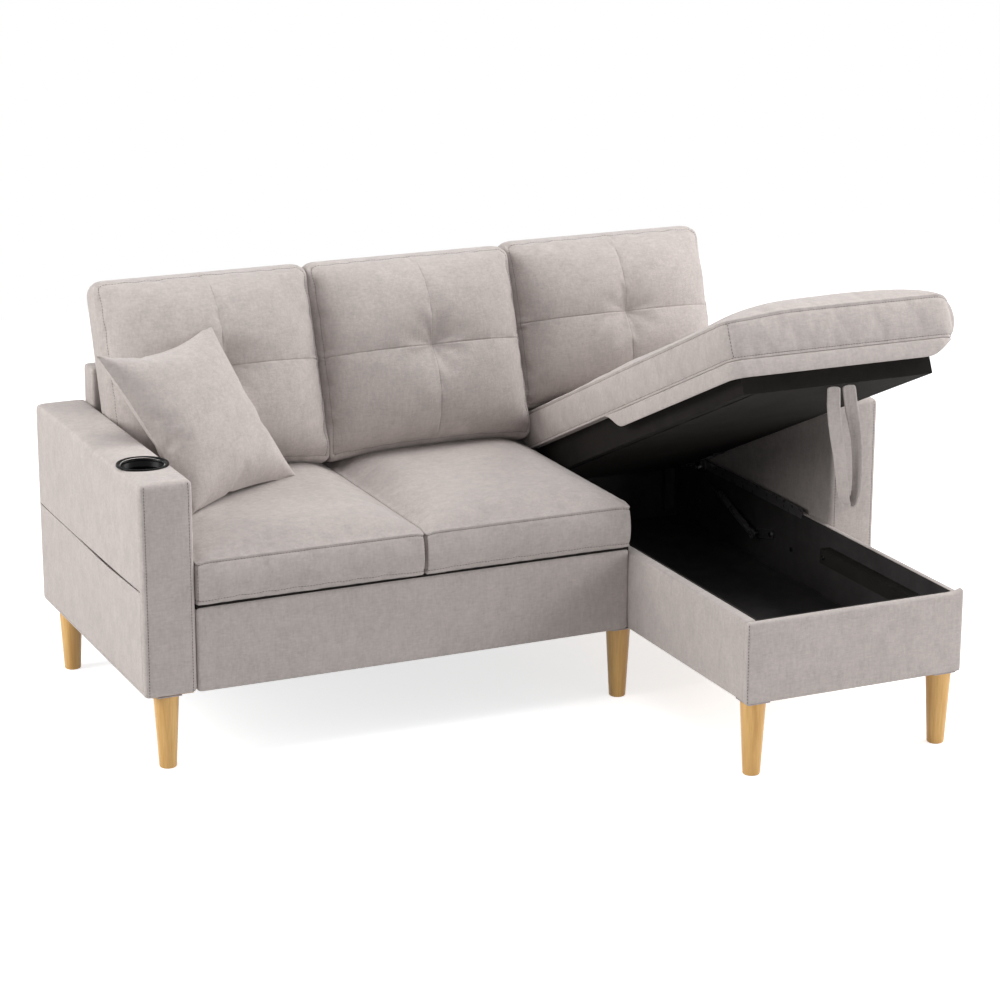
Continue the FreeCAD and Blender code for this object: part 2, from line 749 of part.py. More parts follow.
lid_frame = new_body("lid_frame")
pad(lid_frame, outline(lid_frame, "XY", "lid_bottom", rectangle(("lid_left", "lid_right"), ("lid_front", "lid_rear"))),
    "lid_frame_height")
bay = rectangle(("lid_left + lid_rail", "lid_right - lid_rail"),
                ("lid_front + lid_rail", "lid_front + lid_rail + lid_bay_pitch - lid_slat"))
bay_sketch = outline(lid_frame, "XY", "lid_bottom - cut_overrun", bay)
bay_cut = pocket(lid_frame, bay_sketch, "lid_frame_height + 2 * cut_overrun")
doc.recompute()
bays = lid_frame.newObject("PartDesign::LinearPattern", "lid_bays")
bays.Originals = [bay_cut]
bays.Direction = (bay_sketch, ["V_Axis"])
bays.setExpression("Length", bound("lid_bay_pitch * (lid_bays - 1)"))
bays.setExpression("Occurrences", bound("lid_bays"))
lid_frame.Tip = bays
node(with_the_lid(lid_frame), "lid_frame")

underlining = new_body("lid_underlining")
pad(underlining, outline(underlining, "XY", "lid_bottom - lid_underlining",
                         rectangle(("lid_left + flange_width + steel_gap", "lid_right - flange_width - steel_gap"),
                                   ("lid_front", "lid_rear"))), "lid_underlining")
node(with_the_lid(underlining), "lid_underlining")


def skirt_shape():
    """Fabric band round the front of the lid, its ends swept up in an S."""
    low = size("chaise_height") + size("soft_gap")
    high = size("lid_top")
    front = size("front_side")
    left = size("chaise_left") + size("lid_skirt_overlap")
    right = size("chaise_right") - size("soft_gap") * 3
    curve_start = front + size("lid_skirt_reach")
    curve_end = curve_start + size("lid_skirt_curve")
    half_way = Vector(left, (curve_start + curve_end) / 2, (low + high) / 2)
    rise = (high - low) / 2
    run = size("lid_skirt_curve") / 2
    tangent_share = (math.hypot(run, rise) - run) / rise / 2
    bend = Vector(0, rise, -run) * tangent_share
    low_bend = (Vector(left, curve_start, low) + half_way) / 2 + bend
    high_bend = (Vector(left, curve_end, high) + half_way) / 2 - bend
    edges = [
        line(Vector(left, front, low), Vector(left, curve_start, low)),
        arc(Vector(left, curve_start, low), low_bend, half_way),
        arc(half_way, high_bend, Vector(left, curve_end, high)),
        line(Vector(left, curve_end, high), Vector(left, front, high)),
        line(Vector(left, front, high), Vector(left, front, low)),
    ]
    band = Part.Face(Part.Wire(edges)).extrude(Vector(right - left, 0, 0))
    corners = [e for e in band.Edges if runs_along(e, UP) and abs(e.BoundBox.YMax - front) < 1e-6]
    band = band.makeFillet(size("lid_skirt_round"), corners)
    length = size("lid_frame_length")
    inside = Part.makeBox(size("lid_right") - size("lid_left"), length, size("lid_frame_height"),
                          Vector(size("lid_left"), size("lid_front"), size("lid_bottom")))
    return band.cut(inside)


skirt = doc.addObject("Part::Feature", "lid_skirt")
skirt.Shape = skirt_shape()
node(with_the_lid(skirt), "lid_skirt")

# Soft forms

# Along a boxed cushion from front to back: place, crown and full section, as shares
BOXED_SHARES = [
    (0.0, 0.0, 0.0),
    (0.008, 0.2, 0.62),
    (0.028, 0.5, 1.0),
    (0.12, 0.84, 1.0),
    (0.32, 1.0, 1.0),
    (0.62, 1.0, 1.0),
    (0.84, 0.8, 1.0),
    (0.975, 0.45, 1.0),
    (1.0, 0.1, 0.3),
]
BOXING_DRAW_SHARE = 0.9


def boxed_section(place, left, right, bottom, side_top, crown, bulge):
    """Cross section of a boxed cushion: flat base, soft sides and an arched top."""
    low_left = Vector(left, place, bottom)
    low_right = Vector(right, place, bottom)
    high_left = Vector(left, place, side_top)
    high_right = Vector(right, place, side_top)
    swell = Vector(bulge, 0, 0)
    middle = (high_left + high_right) / 2 + Vector(0, 0, crown)
    return Part.Wire([
        line(low_left, low_right),
        arc(low_right, (low_right + high_right) / 2 + swell, high_right),
        arc(high_right, middle, high_left),
        arc(high_left, (low_left + high_left) / 2 - swell, low_left),
    ])


def seat_cushion(label, left, right):
    """Seat cushion with a rounded front, soft boxing and a crowned top."""
    front = size("arm_front") - size("seat_overhang")
    bottom = size("seat_bottom")
    top = bottom + size("seat_boxing")
    inset = size("seat_round")
    draw = size("seat_draw")
    wires = []
    for place_share, crown_share, full_share in BOXED_SHARES:
        shrink = inset * (1 - full_share)
        drawn = draw * (1 + abs(2 * place_share - 1)) / 2
        wires.append(boxed_section(front + size("seat_depth") * place_share,
                                   left + draw + shrink / 2, right - draw - shrink / 2,
                                   bottom + shrink / 2, top - shrink / 2,
                                   size("seat_crown") * crown_share + draw / 3, drawn * BOXING_DRAW_SHARE))
    return lofted(label, wires)


gap = size("soft_gap")
node(seat_cushion("seat_cushion_left", size("seat_left") + gap, size("seat_middle") - gap),
     "seat_cushion_left")
node(seat_cushion("seat_cushion_middle", size("seat_middle") + gap, size("chaise_left") - gap),
     "seat_cushion_middle")

# Back cushions: sections, and how far the ends, the seam and the tuft reach, as shares
TUFTED_SECTIONS = 24
CORNER_SHARE = 0.06
SEAM_REACH_SHARE = 0.2
SEAM_DEPTH_SHARE = 0.13
TUFT_REACH_SHARE = 0.125
END_SHARE = 0.06
END_EDGE_SHARE = 0.55
CROWN_POWER_SHARE = 0.7
REAR_FULL_SHARE = 0.55


def tufted_section(level, half_width, edge, puff, valley, rear):
    """Cross section of a back cushion: padded back and two puffs that meet at a seam."""
    rear_left = Vector(-half_width, 0, level)
    rear_right = Vector(half_width, 0, level)
    front_left = Vector(-half_width, -edge, level)
    front_right = Vector(half_width, -edge, level)
    seam = Vector(0, -valley, level)
    full_left = Vector(-half_width * REAR_FULL_SHARE, rear, level)
    full_right = Vector(half_width * REAR_FULL_SHARE, rear, level)
    return Part.Wire([
        line(rear_left, full_left),
        line(full_left, full_right),
        line(full_right, rear_right),
        line(rear_right, front_right),
        arc(front_right, Vector(half_width / 2, -puff, level), seam),
        arc(seam, Vector(-half_width / 2, -puff, level), front_left),
        line(front_left, rear_left),
    ])


def back_cushion(label, left, right, height, rear_puff, lift):
    """Back cushion with four puffs round a sewn tuft, leaned on the back frame."""
    half = (right - left) / 2 - gap
    edge_size = size("back_cushion_edge")
    swell = size("back_cushion_puff") - edge_size
    seam_swell = size("back_cushion_valley") - edge_size
    tuft_swell = size("back_cushion_tuft") - edge_size
    wires = []
    for k in range(TUFTED_SECTIONS + 1):
        even_share = k / TUFTED_SECTIONS
        share = (even_share + (1 - math.cos(math.pi * even_share)) / 2) / 2
        from_end, from_seam = min(share, 1 - share), abs(share - 0.5)
        corner = math.sqrt(min(1, from_end / CORNER_SHARE))
        dip = SEAM_DEPTH_SHARE * max(0, 1 - from_seam / SEAM_REACH_SHARE)
        puff = max(END_SHARE, abs(math.sin(math.pi * share)) ** CROWN_POWER_SHARE * (1 - dip))
        near_tuft = max(0, 1 - from_seam / TUFT_REACH_SHARE)
        seam = seam_swell + (tuft_swell - seam_swell) * near_tuft
        edge = edge_size * (END_EDGE_SHARE + (1 - END_EDGE_SHARE) * corner)
        level = height * share + size("back_seam_rise") * math.sin(math.pi * share)
        wires.append(tufted_section(level, half - size("back_cushion_round") * (1 - corner),
                                    edge, edge + swell * puff, edge + seam * puff, rear_puff * puff))
    feature = lofted(label, wires)
    lean = math.radians(size("back_lean"))
    bottom = size("seat_bottom") + size("seat_boxing") + size("back_cushion_sink") + lift
    edge_radius = size("back_edge_radius")
    touch_depth = size("back_front") + edge_radius - (edge_radius + gap) * math.cos(lean)
    touch_level = size("back_height") - edge_radius + (edge_radius + gap) * math.sin(lean)
    depth = touch_depth - (touch_level - bottom) * math.tan(lean) - rear_puff / math.cos(lean)
    feature.Placement = FreeCAD.Placement(
        Vector((left + right) / 2, depth, bottom), FreeCAD.Rotation(ACROSS, -size("back_lean")))
    return feature


for label, left, right in (("back_cushion_left", "seat_left", "seat_middle"),
                           ("back_cushion_middle", "seat_middle", "chaise_left")):
    node(back_cushion(label, size(left), size(right), size("back_cushion_height"),
                      size("back_cushion_rear"), 0), label)
node(back_cushion("back_cushion_right", size("chaise_left"), size("chaise_right"),
                  size("pressed_cushion_height"), size("pressed_cushion_rear"),
                  size("pressed_cushion_lift")), "back_cushion_right")

# Throw pillow: sections from its lower to its upper seam, and its fullness
PILLOW_SECTIONS = 20
FULLNESS_POWER_SHARE = 0.55


def pillow_solid():
    """Plain square pillow: full in the middle, thin at its seam, sides drawn in."""
    wires = []
    for k in range(PILLOW_SECTIONS + 1):
        share = (1 - math.cos(math.pi * k / PILLOW_SECTIONS)) / 2
        fullness = abs(math.sin(math.pi * share))
        seam = size("pillow_seam")
        swell = seam / 2 + (size("pillow_thickness") - seam) / 2 * math.pow(fullness, FULLNESS_POWER_SHARE)
        half = size("pillow_width") / 2 - size("pillow_draw") * fullness
        level = size("pillow_height") * share
        middle = -size("pillow_slump") * share
        left = Vector(middle - half, 0, level)
        right = Vector(middle + half, 0, level)
        thin = Vector(0, seam / 4, 0)
        wires.append(Part.Wire([
            arc(left - thin, Vector(middle, -swell, level), right - thin),
            line(right - thin, right + thin),
            arc(right + thin, Vector(middle, swell, level), left + thin),
            line(left + thin, left - thin),
        ]))
    return Part.makeLoft(wires, True, True)


pillow = doc.addObject("Part::Feature", "throw_pillow")
pillow.Shape = pillow_solid()
pillow_bottom = size("seat_bottom") + size("seat_boxing") + size("seat_crown") + size("seat_draw")
pillow_bottom += size("pillow_rest_gap")
pillow.Placement = FreeCAD.Placement(
    Vector(size("seat_left") + size("pillow_from_arm"), size("arm_front") + size("pillow_from_front"),
           pillow_bottom),
    FreeCAD.Rotation(UP, size("pillow_turn")).multiply(FreeCAD.Rotation(ACROSS, -size("pillow_lean"))))
node(pillow, "throw_pillow")


# Lid cushion: how soon its wide part ends and how high its side is fullest, as shares
BULGE_STEP_SHARE = 0.012
BULGE_LEVEL_SHARE = 0.55


def lid_cushion_solid():
    """Long cushion of the lid, wider in front of the right arm, where it bulges over the box."""
    front = size("lid_cushion_front")
    length = size("lid_cushion_length")
    bulge_share = size("lid_bulge_reach") / length
    bottom = size("lid_top")
    top = bottom + size("lid_cushion_boxing")
    left = size("lid_cushion_left")
    stations = [(share, crown, full, True) for share, crown, full in BOXED_SHARES if share < bulge_share]
    stations.append((bulge_share, 1.0, 1.0, True))
    stations.append((bulge_share + BULGE_STEP_SHARE, 1.0, 1.0, False))
    stations += [(share, crown, full, False) for share, crown, full in BOXED_SHARES
                 if share > bulge_share + BULGE_STEP_SHARE]
    wires = []
    for share, crown, full, wide in stations:
        shrink = size("seat_round") * (1 - full)
        right = size("lid_cushion_right")
        if wide:
            right = size("chaise_right") + size("lid_cushion_bulge")
        low_right = min(right, size("chaise_right")) - shrink
        place = front + length * share
        side = size("lid_cushion_side")
        points = [Vector(left + shrink / 2, place, bottom), Vector(low_right, place, bottom),
                  Vector(right - side - shrink / 2, place, top - shrink / 2),
                  Vector(left + shrink / 2, place, top - shrink / 2)]
        edge_middle = Vector(right - shrink / 2, place, bottom + (top - bottom) * BULGE_LEVEL_SHARE)
        crown_middle = (points[2] + points[3]) / 2 + Vector(0, 0, size("lid_cushion_crown") * crown + side / 4)
        wires.append(Part.Wire([
            line(points[0], points[1]),
            arc(points[1], edge_middle, points[2]),
            arc(points[2], crown_middle, points[3]),
            arc(points[3], (points[3] + points[0]) / 2 - Vector(side / 2, 0, 0), points[0]),
        ]))
    return Part.makeLoft(wires, True, True)


lid_cushion = doc.addObject("Part::Feature", "lid_cushion")
lid_cushion.Shape = lid_cushion_solid()
node(with_the_lid(lid_cushion), "lid_cushion")

# Pull strap: a flat loop that hangs from the front edge of the open lid

strap = new_body("lid_pull_strap")
strap_left = "lid_left + strap_from_side - strap_width / 2"
strap_right = "lid_left + strap_from_side + strap_width / 2"
strap_top = "strap_level - strap_thickness - soft_gap"
strap_low = "strap_level - strap_drop"
strap_outline = [
    (strap_left, strap_top),
    (strap_left + " + strap_ribbon / 2", strap_low + " + strap_ribbon"),
    (strap_left + " + strap_ribbon", strap_low),
    (strap_right + " - strap_ribbon", strap_low),
    (strap_right + " - strap_ribbon / 2", strap_low + " + strap_ribbon"),
    (strap_right, strap_top),
    (strap_right + " - strap_ribbon", strap_top),
    (strap_right + " - 1.5 * strap_ribbon", strap_low + " + strap_ribbon"),
    (strap_left + " + 1.5 * strap_ribbon", strap_low + " + strap_ribbon"),
    (strap_left + " + strap_ribbon", strap_top),
]
pad(strap, outline(strap, "XZ", "-strap_depth - strap_thickness - soft_gap", strap_outline), "strap_thickness")
node(strap, "lid_pull_strap")

# Lift mechanism on each side of the box

pivot_place = ("pivot_depth", "pivot_level")
hinge_pins = []
for side in ("left", "right"):
    rail_across = inward(side, "0", "steel")
    wall_rail = new_body(side + "_wall_rail")
    rail_high = "chaise_height + rail_rise"
    rail_profile = [
        ("arm_front + rail_front_reach", rail_high + " - rail_depth"),
        ("pivot_depth - ear_radius", "pivot_level - ear_radius"),
        ("pivot_depth + ear_radius", "pivot_level - ear_radius"),
        ("pivot_depth + ear_radius", "pivot_level + ear_radius"),
        ("arm_front + rail_bend_reach", rail_high),
        ("arm_front + rail_front_reach", rail_high),
    ]
    pad(wall_rail, outline(wall_rail, "YZ", rail_across[0], rail_profile), "steel")
    rounded(wall_rail, "ear_fillet",
            lambda edge: runs_along(edge, ACROSS) and edge.BoundBox.YMin > size("pivot_depth") + 1)
    pocket(wall_rail, ring(wall_rail, "YZ", rail_across[0] + " - cut_overrun", pivot_place,
                           "pin_radius + pin_clearance"), "steel + 2 * cut_overrun")
    node(wall_rail, side + "_wall_rail")

    plate_across = inward(side, "steel + steel_gap", "2 * steel + steel_gap")
    lid_plate = new_body(side + "_lid_plate")
    plate_front = "arm_front + plate_front_reach"
    eye_middle = "arm_front + eye_reach"
    eye_bottom = "pivot_level - eye_drop - eye_tab"
    plate_profile = [
        (plate_front, "lid_bottom"),
        (eye_middle + " - eye_tab_root", "lid_bottom"),
        (eye_middle + " - eye_tab", eye_bottom),
        (eye_middle + " + eye_tab", eye_bottom),
        (eye_middle + " + eye_tab_root", "lid_bottom"),
        ("lid_rear - eye_tab", "lid_bottom"),
        ("pivot_depth + ear_radius", "pivot_level - ear_radius"),
        ("pivot_depth + ear_radius", "pivot_level + ear_radius"),
        ("lid_rear - eye_tab", "lid_bottom + plate_height + eye_tab"),
        (plate_front, "lid_bottom + plate_height"),
    ]
    pad(lid_plate, outline(lid_plate, "YZ", plate_across[0], plate_profile), "steel")
    rounded(lid_plate, "ear_fillet",
            lambda edge: runs_along(edge, ACROSS) and edge.BoundBox.YMin > size("pivot_depth") + 1)
    pocket(lid_plate, ring(lid_plate, "YZ", plate_across[0] + " - cut_overrun", pivot_place,
                           "pin_radius + pin_clearance"), "steel + 2 * cut_overrun")
    flange_across = inward(side, "steel + steel_gap", "2 * steel + steel_gap + flange_width")
    for start, length in ((plate_front, "flange_front_length"), ("arm_front + flange_rear_reach", "flange_rear_length")):
        pad(lid_plate, outline(lid_plate, "XY", "lid_bottom - steel",
                               rectangle(flange_across, (start, start + " + " + length))), "steel")
    pin_across = inward(side, "steel + steel_gap", "strut_offset + eye_width")
    pad(lid_plate, ring(lid_plate, "YZ", pin_across[0], (eye_middle, "pivot_level - eye_drop"), "pin_radius"),
        "%s - (%s)" % (pin_across[1], pin_across[0]))
    node(with_the_lid(lid_plate), side + "_lid_plate")

    pin_across = inward(side, "0", "3 * steel")
    pin = new_body(side + "_pin")
    pad(pin, ring(pin, "YZ", pin_across[0], pivot_place, "pin_radius"), "3 * steel")
    hinge_pins.append(pin)

    strut_foot = new_body(side + "_strut_foot")
    foot_place = ("foot_depth", "foot_level")
    bolt_place = ("arm_front + foot_bolt_reach", "chaise_height - foot_bolt_drop")
    foot_profile = [
        (bolt_place[0] + " - foot_plate_reach", bolt_place[1] + " - ear_radius"),
        ("foot_depth - ear_radius / 2", "foot_level - foot_plate_reach"),
        ("foot_depth + foot_plate_nose", "foot_level - ear_radius"),
        ("foot_depth + foot_plate_nose", "foot_level + ear_radius"),
        (bolt_place[0] + " + ear_radius", bolt_place[1] + " + ear_radius"),
        (bolt_place[0] + " - foot_plate_reach", bolt_place[1] + " + ear_radius"),
    ]
    pad(strut_foot, outline(strut_foot, "YZ", rail_across[0], foot_profile), "steel")
    pin_across = inward(side, "0", "strut_offset + eye_width")
    pad(strut_foot, ring(strut_foot, "YZ", pin_across[0], foot_place, "pin_radius"),
        "strut_offset + eye_width")
    node(strut_foot, side + "_strut_foot")

    sign = "+" if side == "left" else "-"
    strut_base = ("lining_%s %s strut_offset" % (side, sign), "foot_depth", "foot_level")
    strut_pose = turned("strut_angle - 90 deg", strut_base, base=strut_base)
    cylinder = new_body(side + "_strut_cylinder")
    cylinder_profile = [
        ("0", "eye_radius / 2"),
        ("strut_radius", "eye_radius / 2"),
        ("strut_radius", "strut_cylinder_length"),
        ("rod_radius + pin_clearance", "strut_cylinder_length"),
        ("rod_radius + pin_clearance", "strut_cylinder_length - strut_overlap - 2 * eye_radius"),
        ("0", "strut_cylinder_length - strut_overlap - 2 * eye_radius"),
    ]
    revolve(cylinder, outline(cylinder, "XZ", "0", cylinder_profile))
    pad(cylinder, ring(cylinder, "YZ", "-eye_width / 2", ("0", "0"), "eye_radius"), "eye_width")
    pocket(cylinder, ring(cylinder, "YZ", "-eye_radius", ("0", "0"), "pin_radius + pin_clearance"),
           "2 * eye_radius")
    cylinder.setExpression("Placement", strut_pose)
    node(cylinder, side + "_strut_cylinder")

    rod = new_body(side + "_strut_rod")
    rod_start = "strut_cylinder_length - strut_overlap"
    rod_profile = [
        ("0", rod_start),
        ("rod_radius", rod_start),
        ("rod_radius", "strut_length"),
        ("0", "strut_length"),
    ]
    revolve(rod, outline(rod, "XZ", "0", rod_profile))
    pad(rod, ring(rod, "YZ", "-eye_width / 2", ("0", "strut_length"), "eye_radius"), "eye_width")
    pocket(rod, ring(rod, "YZ", "-eye_radius", ("0", "strut_length"), "pin_radius + eye_clearance"),
           "2 * eye_radius")
    rod.setExpression("Placement", strut_pose)
    node(rod, side + "_strut_rod")
node(group("hinge_pins", hinge_pins), "hinge_pins")

# Hexagonal bolt heads


def bolt_across(label, x_span, y_place, z_place):
    """Bolt head whose axis lies across the sofa."""
    head = new_body(label)
    pad(head, hexagon(head, "YZ", x_span[0], (y_place, z_place), "bolt_head_radius"),
        "%s - (%s)" % (x_span[1], x_span[0]))
    return head


wall_bolts = []
lid_bolts = []
for side in ("left", "right"):
    on_plate = inward(side, "steel", "steel + bolt_head_height")
    on_wall = inward(side, "0", "bolt_head_height")
    wall_bolts.append(bolt_across(side + "_foot_bolt", on_plate, "arm_front + foot_bolt_reach",
                                  "chaise_height - foot_bolt_drop"))
    for name in ("front", "rear"):
        wall_bolts.append(bolt_across("%s_%s_bolt" % (side, name), on_wall,
                                      "arm_front + %s_bolt_reach" % name, "chaise_height - wall_bolt_drop"))
    on_cleat = inward(side, "cleat_width", "cleat_width + bolt_head_height")
    wall_bolts.append(bolt_across(side + "_cleat_bolt", on_cleat,
                                  "lining_front + cleat_from_front + cleat_length - cleat_height / 2",
                                  "chaise_height - cleat_drop - cleat_height / 2"))
    across = inward(side, "0", "2 * steel + steel_gap + flange_width / 2")
    middle = across[1] if side == "left" else across[0]
    for name, reach in (("fore", "plate_front_reach + flange_front_length / 4"),
                        ("mid", "plate_front_reach + 3 * flange_front_length / 4"),
                        ("aft", "flange_rear_reach + flange_rear_length / 2")):
        head = new_body("%s_lid_bolt_%s" % (side, name))
        pad(head, hexagon(head, "XY", "lid_bottom - steel - bolt_head_height",
                          (middle, "arm_front + " + reach), "bolt_head_radius"), "bolt_head_height")
        lid_bolts.append(head)
node(group("wall_bolts", wall_bolts), "wall_bolts")
node(with_the_lid(group("lid_bolts", lid_bolts)), "lid_bolts")

# Checks and files

doc.recompute()
for item in doc.Objects:
    if "Invalid" in item.State or "Error" in item.State:
        raise RuntimeError("%s failed: %s" % (item.Label, item.State))
for label, feature in NODES.items():
    shape = feature.Shape
    if shape.isNull() or not shape.isValid() or shape.Volume <= 0:
        raise RuntimeError("%s has no sound solid" % label)

os.makedirs("parts", exist_ok=True)
for label, feature in NODES.items():
    feature.Shape.exportStep(os.path.join("parts", label + ".step"))
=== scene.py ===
import math

import bmesh
import bpy
import numpy as np
from mathutils import Matrix, Vector


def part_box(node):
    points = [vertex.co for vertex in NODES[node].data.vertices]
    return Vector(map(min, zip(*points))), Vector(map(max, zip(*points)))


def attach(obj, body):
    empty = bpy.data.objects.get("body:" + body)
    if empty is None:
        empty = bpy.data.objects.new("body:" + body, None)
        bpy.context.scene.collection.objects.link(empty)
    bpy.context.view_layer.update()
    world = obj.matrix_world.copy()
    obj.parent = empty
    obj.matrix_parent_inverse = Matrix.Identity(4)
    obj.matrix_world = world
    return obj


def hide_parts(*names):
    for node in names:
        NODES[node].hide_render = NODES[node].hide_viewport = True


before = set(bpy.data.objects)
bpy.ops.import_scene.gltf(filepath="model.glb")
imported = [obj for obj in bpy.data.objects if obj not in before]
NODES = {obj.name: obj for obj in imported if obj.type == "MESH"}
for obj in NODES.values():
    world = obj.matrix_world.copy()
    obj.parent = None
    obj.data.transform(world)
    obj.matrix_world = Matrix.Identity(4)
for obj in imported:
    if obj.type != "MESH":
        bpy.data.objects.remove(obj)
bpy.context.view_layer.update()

scene = bpy.context.scene

# Camera, placed where the photograph was taken from

CAMERA_PLACE = Vector((-2.7179, -5.8475, 2.3670))
CAMERA_YAW, CAMERA_PITCH, CAMERA_ROLL = 0.4321, -0.2856, 0.0023
FOCAL_PIXELS = 3018.0
FRAME_PIXELS = 1000
SENSOR = 36.0
CLIP_END = 60


def make_camera():
    """A camera that looks along the yaw and pitch solved from the photograph."""
    ahead = Vector((math.sin(CAMERA_YAW) * math.cos(CAMERA_PITCH),
                    math.cos(CAMERA_YAW) * math.cos(CAMERA_PITCH), math.sin(CAMERA_PITCH)))
    level = Vector((math.cos(CAMERA_YAW), -math.sin(CAMERA_YAW), 0))
    up = level.cross(ahead)
    right = level * math.cos(CAMERA_ROLL) + up * math.sin(CAMERA_ROLL)
    up = right.cross(ahead)
    data = bpy.data.cameras.new("camera")
    data.sensor_width = SENSOR
    data.lens = FOCAL_PIXELS * SENSOR / FRAME_PIXELS
    data.clip_end = CLIP_END
    camera = bpy.data.objects.new("camera", data)
    scene.collection.objects.link(camera)
    turn = Matrix((right, up, -ahead)).transposed().to_4x4()
    camera.matrix_world = Matrix.Translation(CAMERA_PLACE) @ turn
    scene.camera = camera


make_camera()

# Materials


def linear(*channels):
    """A screen colour, 0 to 255, as the linear colour that a shader takes."""
    shares = [channel / 255 for channel in channels]
    return (*[s / 12.92 if s <= 0.04045 else ((s + 0.055) / 1.055) ** 2.4 for s in shares], 1.0)


def math_node(tree, kind, *values):
    """The value of a math node fed by sockets or numbers."""
    node = tree.nodes.new("ShaderNodeMath")
    node.operation = kind
    for socket, value in zip(node.inputs, values):
        if isinstance(value, (int, float)):
            socket.default_value = value
        else:
            tree.links.new(value, socket)
    return node.outputs["Value"]


class Shader:
    """A node material with a few short ways to add textures."""

    def __init__(self, name):
        self.material = bpy.data.materials.new(name)
        self.material.use_nodes = True
        self.tree = self.material.node_tree
        self.nodes, self.links = self.tree.nodes, self.tree.links
        self.surface = self.nodes["Principled BSDF"]
        self.place = self.nodes.new("ShaderNodeTexCoord").outputs["Object"]

    def feed(self, node, values):
        """Set inputs of a node to numbers or colours, or link them to sockets."""
        for key, value in values.items():
            socket = node.inputs[key.replace("_", " ")]
            if isinstance(value, bpy.types.NodeSocket):
                self.links.new(value, socket)
            else:
                socket.default_value = value

    def set(self, **values):
        """Feed the surface's own inputs."""
        self.feed(self.surface, values)
        return self

    def node(self, kind, output, **values):
        """An output of a new node whose inputs are fed."""
        node = self.nodes.new("ShaderNode" + kind)
        self.feed(node, values)
        return node.outputs[output]

    def noise(self, stretch, scale, detail=2.0, rough=0.5):
        """Noise over the object's place, stretched by a factor along each axis."""
        place = self.node("Mapping", "Vector", Scale=stretch, Vector=self.place)
        return self.node("TexNoise", "Fac", Scale=scale, Detail=detail, Roughness=rough, Vector=place)

    def weighted(self, *parts):
        """The sum of several values, each times its weight."""
        total = 0.0
        for value, weight in parts:
            share = math_node(self.tree, "MULTIPLY", value, weight)
            total = math_node(self.tree, "ADD", share, total)
        return total

    def coloured(self, value, stops):
        """Colour the surface between stops, each a place and a colour."""
        node = self.nodes.new("ShaderNodeValToRGB")
        for _ in stops[2:]:
            node.color_ramp.elements.new(0.5)
        for element, (place, colour) in zip(node.color_ramp.elements, stops):
            element.position = place
            element.color = colour
        self.links.new(value, node.inputs["Fac"])
        return self.set(Base_Color=node.outputs["Color"])

    def roughness(self, value, low, high):
        """Vary the roughness with a texture."""
        return self.set(Roughness=self.node("MapRange", "Result", Value=value, To_Min=low, To_Max=high))

    def bump(self, height, distance, strength=1.0):
        """Fine relief from a height socket."""
        return self.set(Normal=self.node("Bump", "Normal", Height=height, Distance=distance,
                                         Strength=strength))


def tinted(colour, share):
    """A colour made lighter or darker by a share."""
    return tuple(min(1.0, part * share) for part in colour[:3]) + (1.0,)


def woven(name, colour, contrast=0.12, nap=0.25):
    """Soft linen look: short threads and slubs both ways, cloudy patches and a light nap."""
    shader = Shader(name).set(Roughness=0.92, Sheen_Weight=nap, Sheen_Roughness=0.45)
    shader.set(Specular_IOR_Level=0.18)
    weft = shader.noise((0.16, 0.3, 1.0), 620, 2.0, 0.55)
    warp = shader.noise((1.0, 0.9, 0.14), 560, 2.0, 0.55)
    cross = shader.noise((0.22, 1.0, 0.5), 600, 2.0, 0.5)
    threads = shader.weighted((weft, 1 / 3), (warp, 1 / 3), (cross, 1 / 3))
    level_slubs = shader.noise((0.3, 0.42, 1.0), 210, 3.0, 0.6)
    upright_slubs = shader.noise((1.0, 0.8, 0.24), 190, 3.0, 0.6)
    patches = shader.noise((1, 1, 0.8), 30, 4.0, 0.62)
    clouds = shader.noise((1, 1, 1), 7.0, 3.0, 0.5)
    tone = shader.weighted((threads, 0.3), (level_slubs, 0.2), (upright_slubs, 0.2),
                           (patches, 0.2), (clouds, 0.1))
    shader.coloured(tone, [(0.42, tinted(colour, 1 - contrast)), (0.5, colour),
                           (0.58, tinted(colour, 1 + contrast))])
    shader.roughness(threads, 0.82, 0.98)
    fine = shader.noise((1, 1, 1), 1500, 1.0, 0.5)
    relief = shader.weighted((threads, 1.0), (level_slubs, 0.5), (upright_slubs, 0.5), (fine, 0.35))
    return shader.bump(relief, 0.0011, 0.6).material


def felted(name, colour, lighter):
    """Black pressed non-woven: dull fibres with a fine dimple pattern."""
    shader = Shader(name).set(Roughness=0.95, Specular_IOR_Level=0.12)
    fibres = shader.noise((0.35, 1, 1), 900, 3.0, 0.7)
    clouds = shader.noise((1, 1, 1), 14, 3.0, 0.6)
    tone = shader.weighted((fibres, 0.6), (clouds, 0.4))
    shader.coloured(tone, [(0.35, colour), (0.7, lighter)])
    return shader.roughness(fibres, 0.85, 1.0).bump(fibres, 0.0012, 0.6).material


def grained(name, dark, light, rough=0.4, coat=0.15):
    """Satin wood with its grain along the height."""
    shader = Shader(name).set(Coat_Weight=coat, Coat_Roughness=0.3)
    broad = shader.noise((1, 1, 0.06), 42, 4.0, 0.55)
    fine = shader.noise((1, 1, 0.03), 260, 3.0, 0.6)
    pores = shader.noise((1, 1, 0.05), 900, 2.0, 0.5)
    tone = shader.weighted((broad, 0.6), (fine, 0.4))
    shader.coloured(tone, [(0.36, dark), (0.62, light)])
    shader.roughness(pores, rough - 0.08, rough + 0.12)
    return shader.bump(math_node(shader.tree, "ADD", fine, pores), 0.0003, 0.35).material


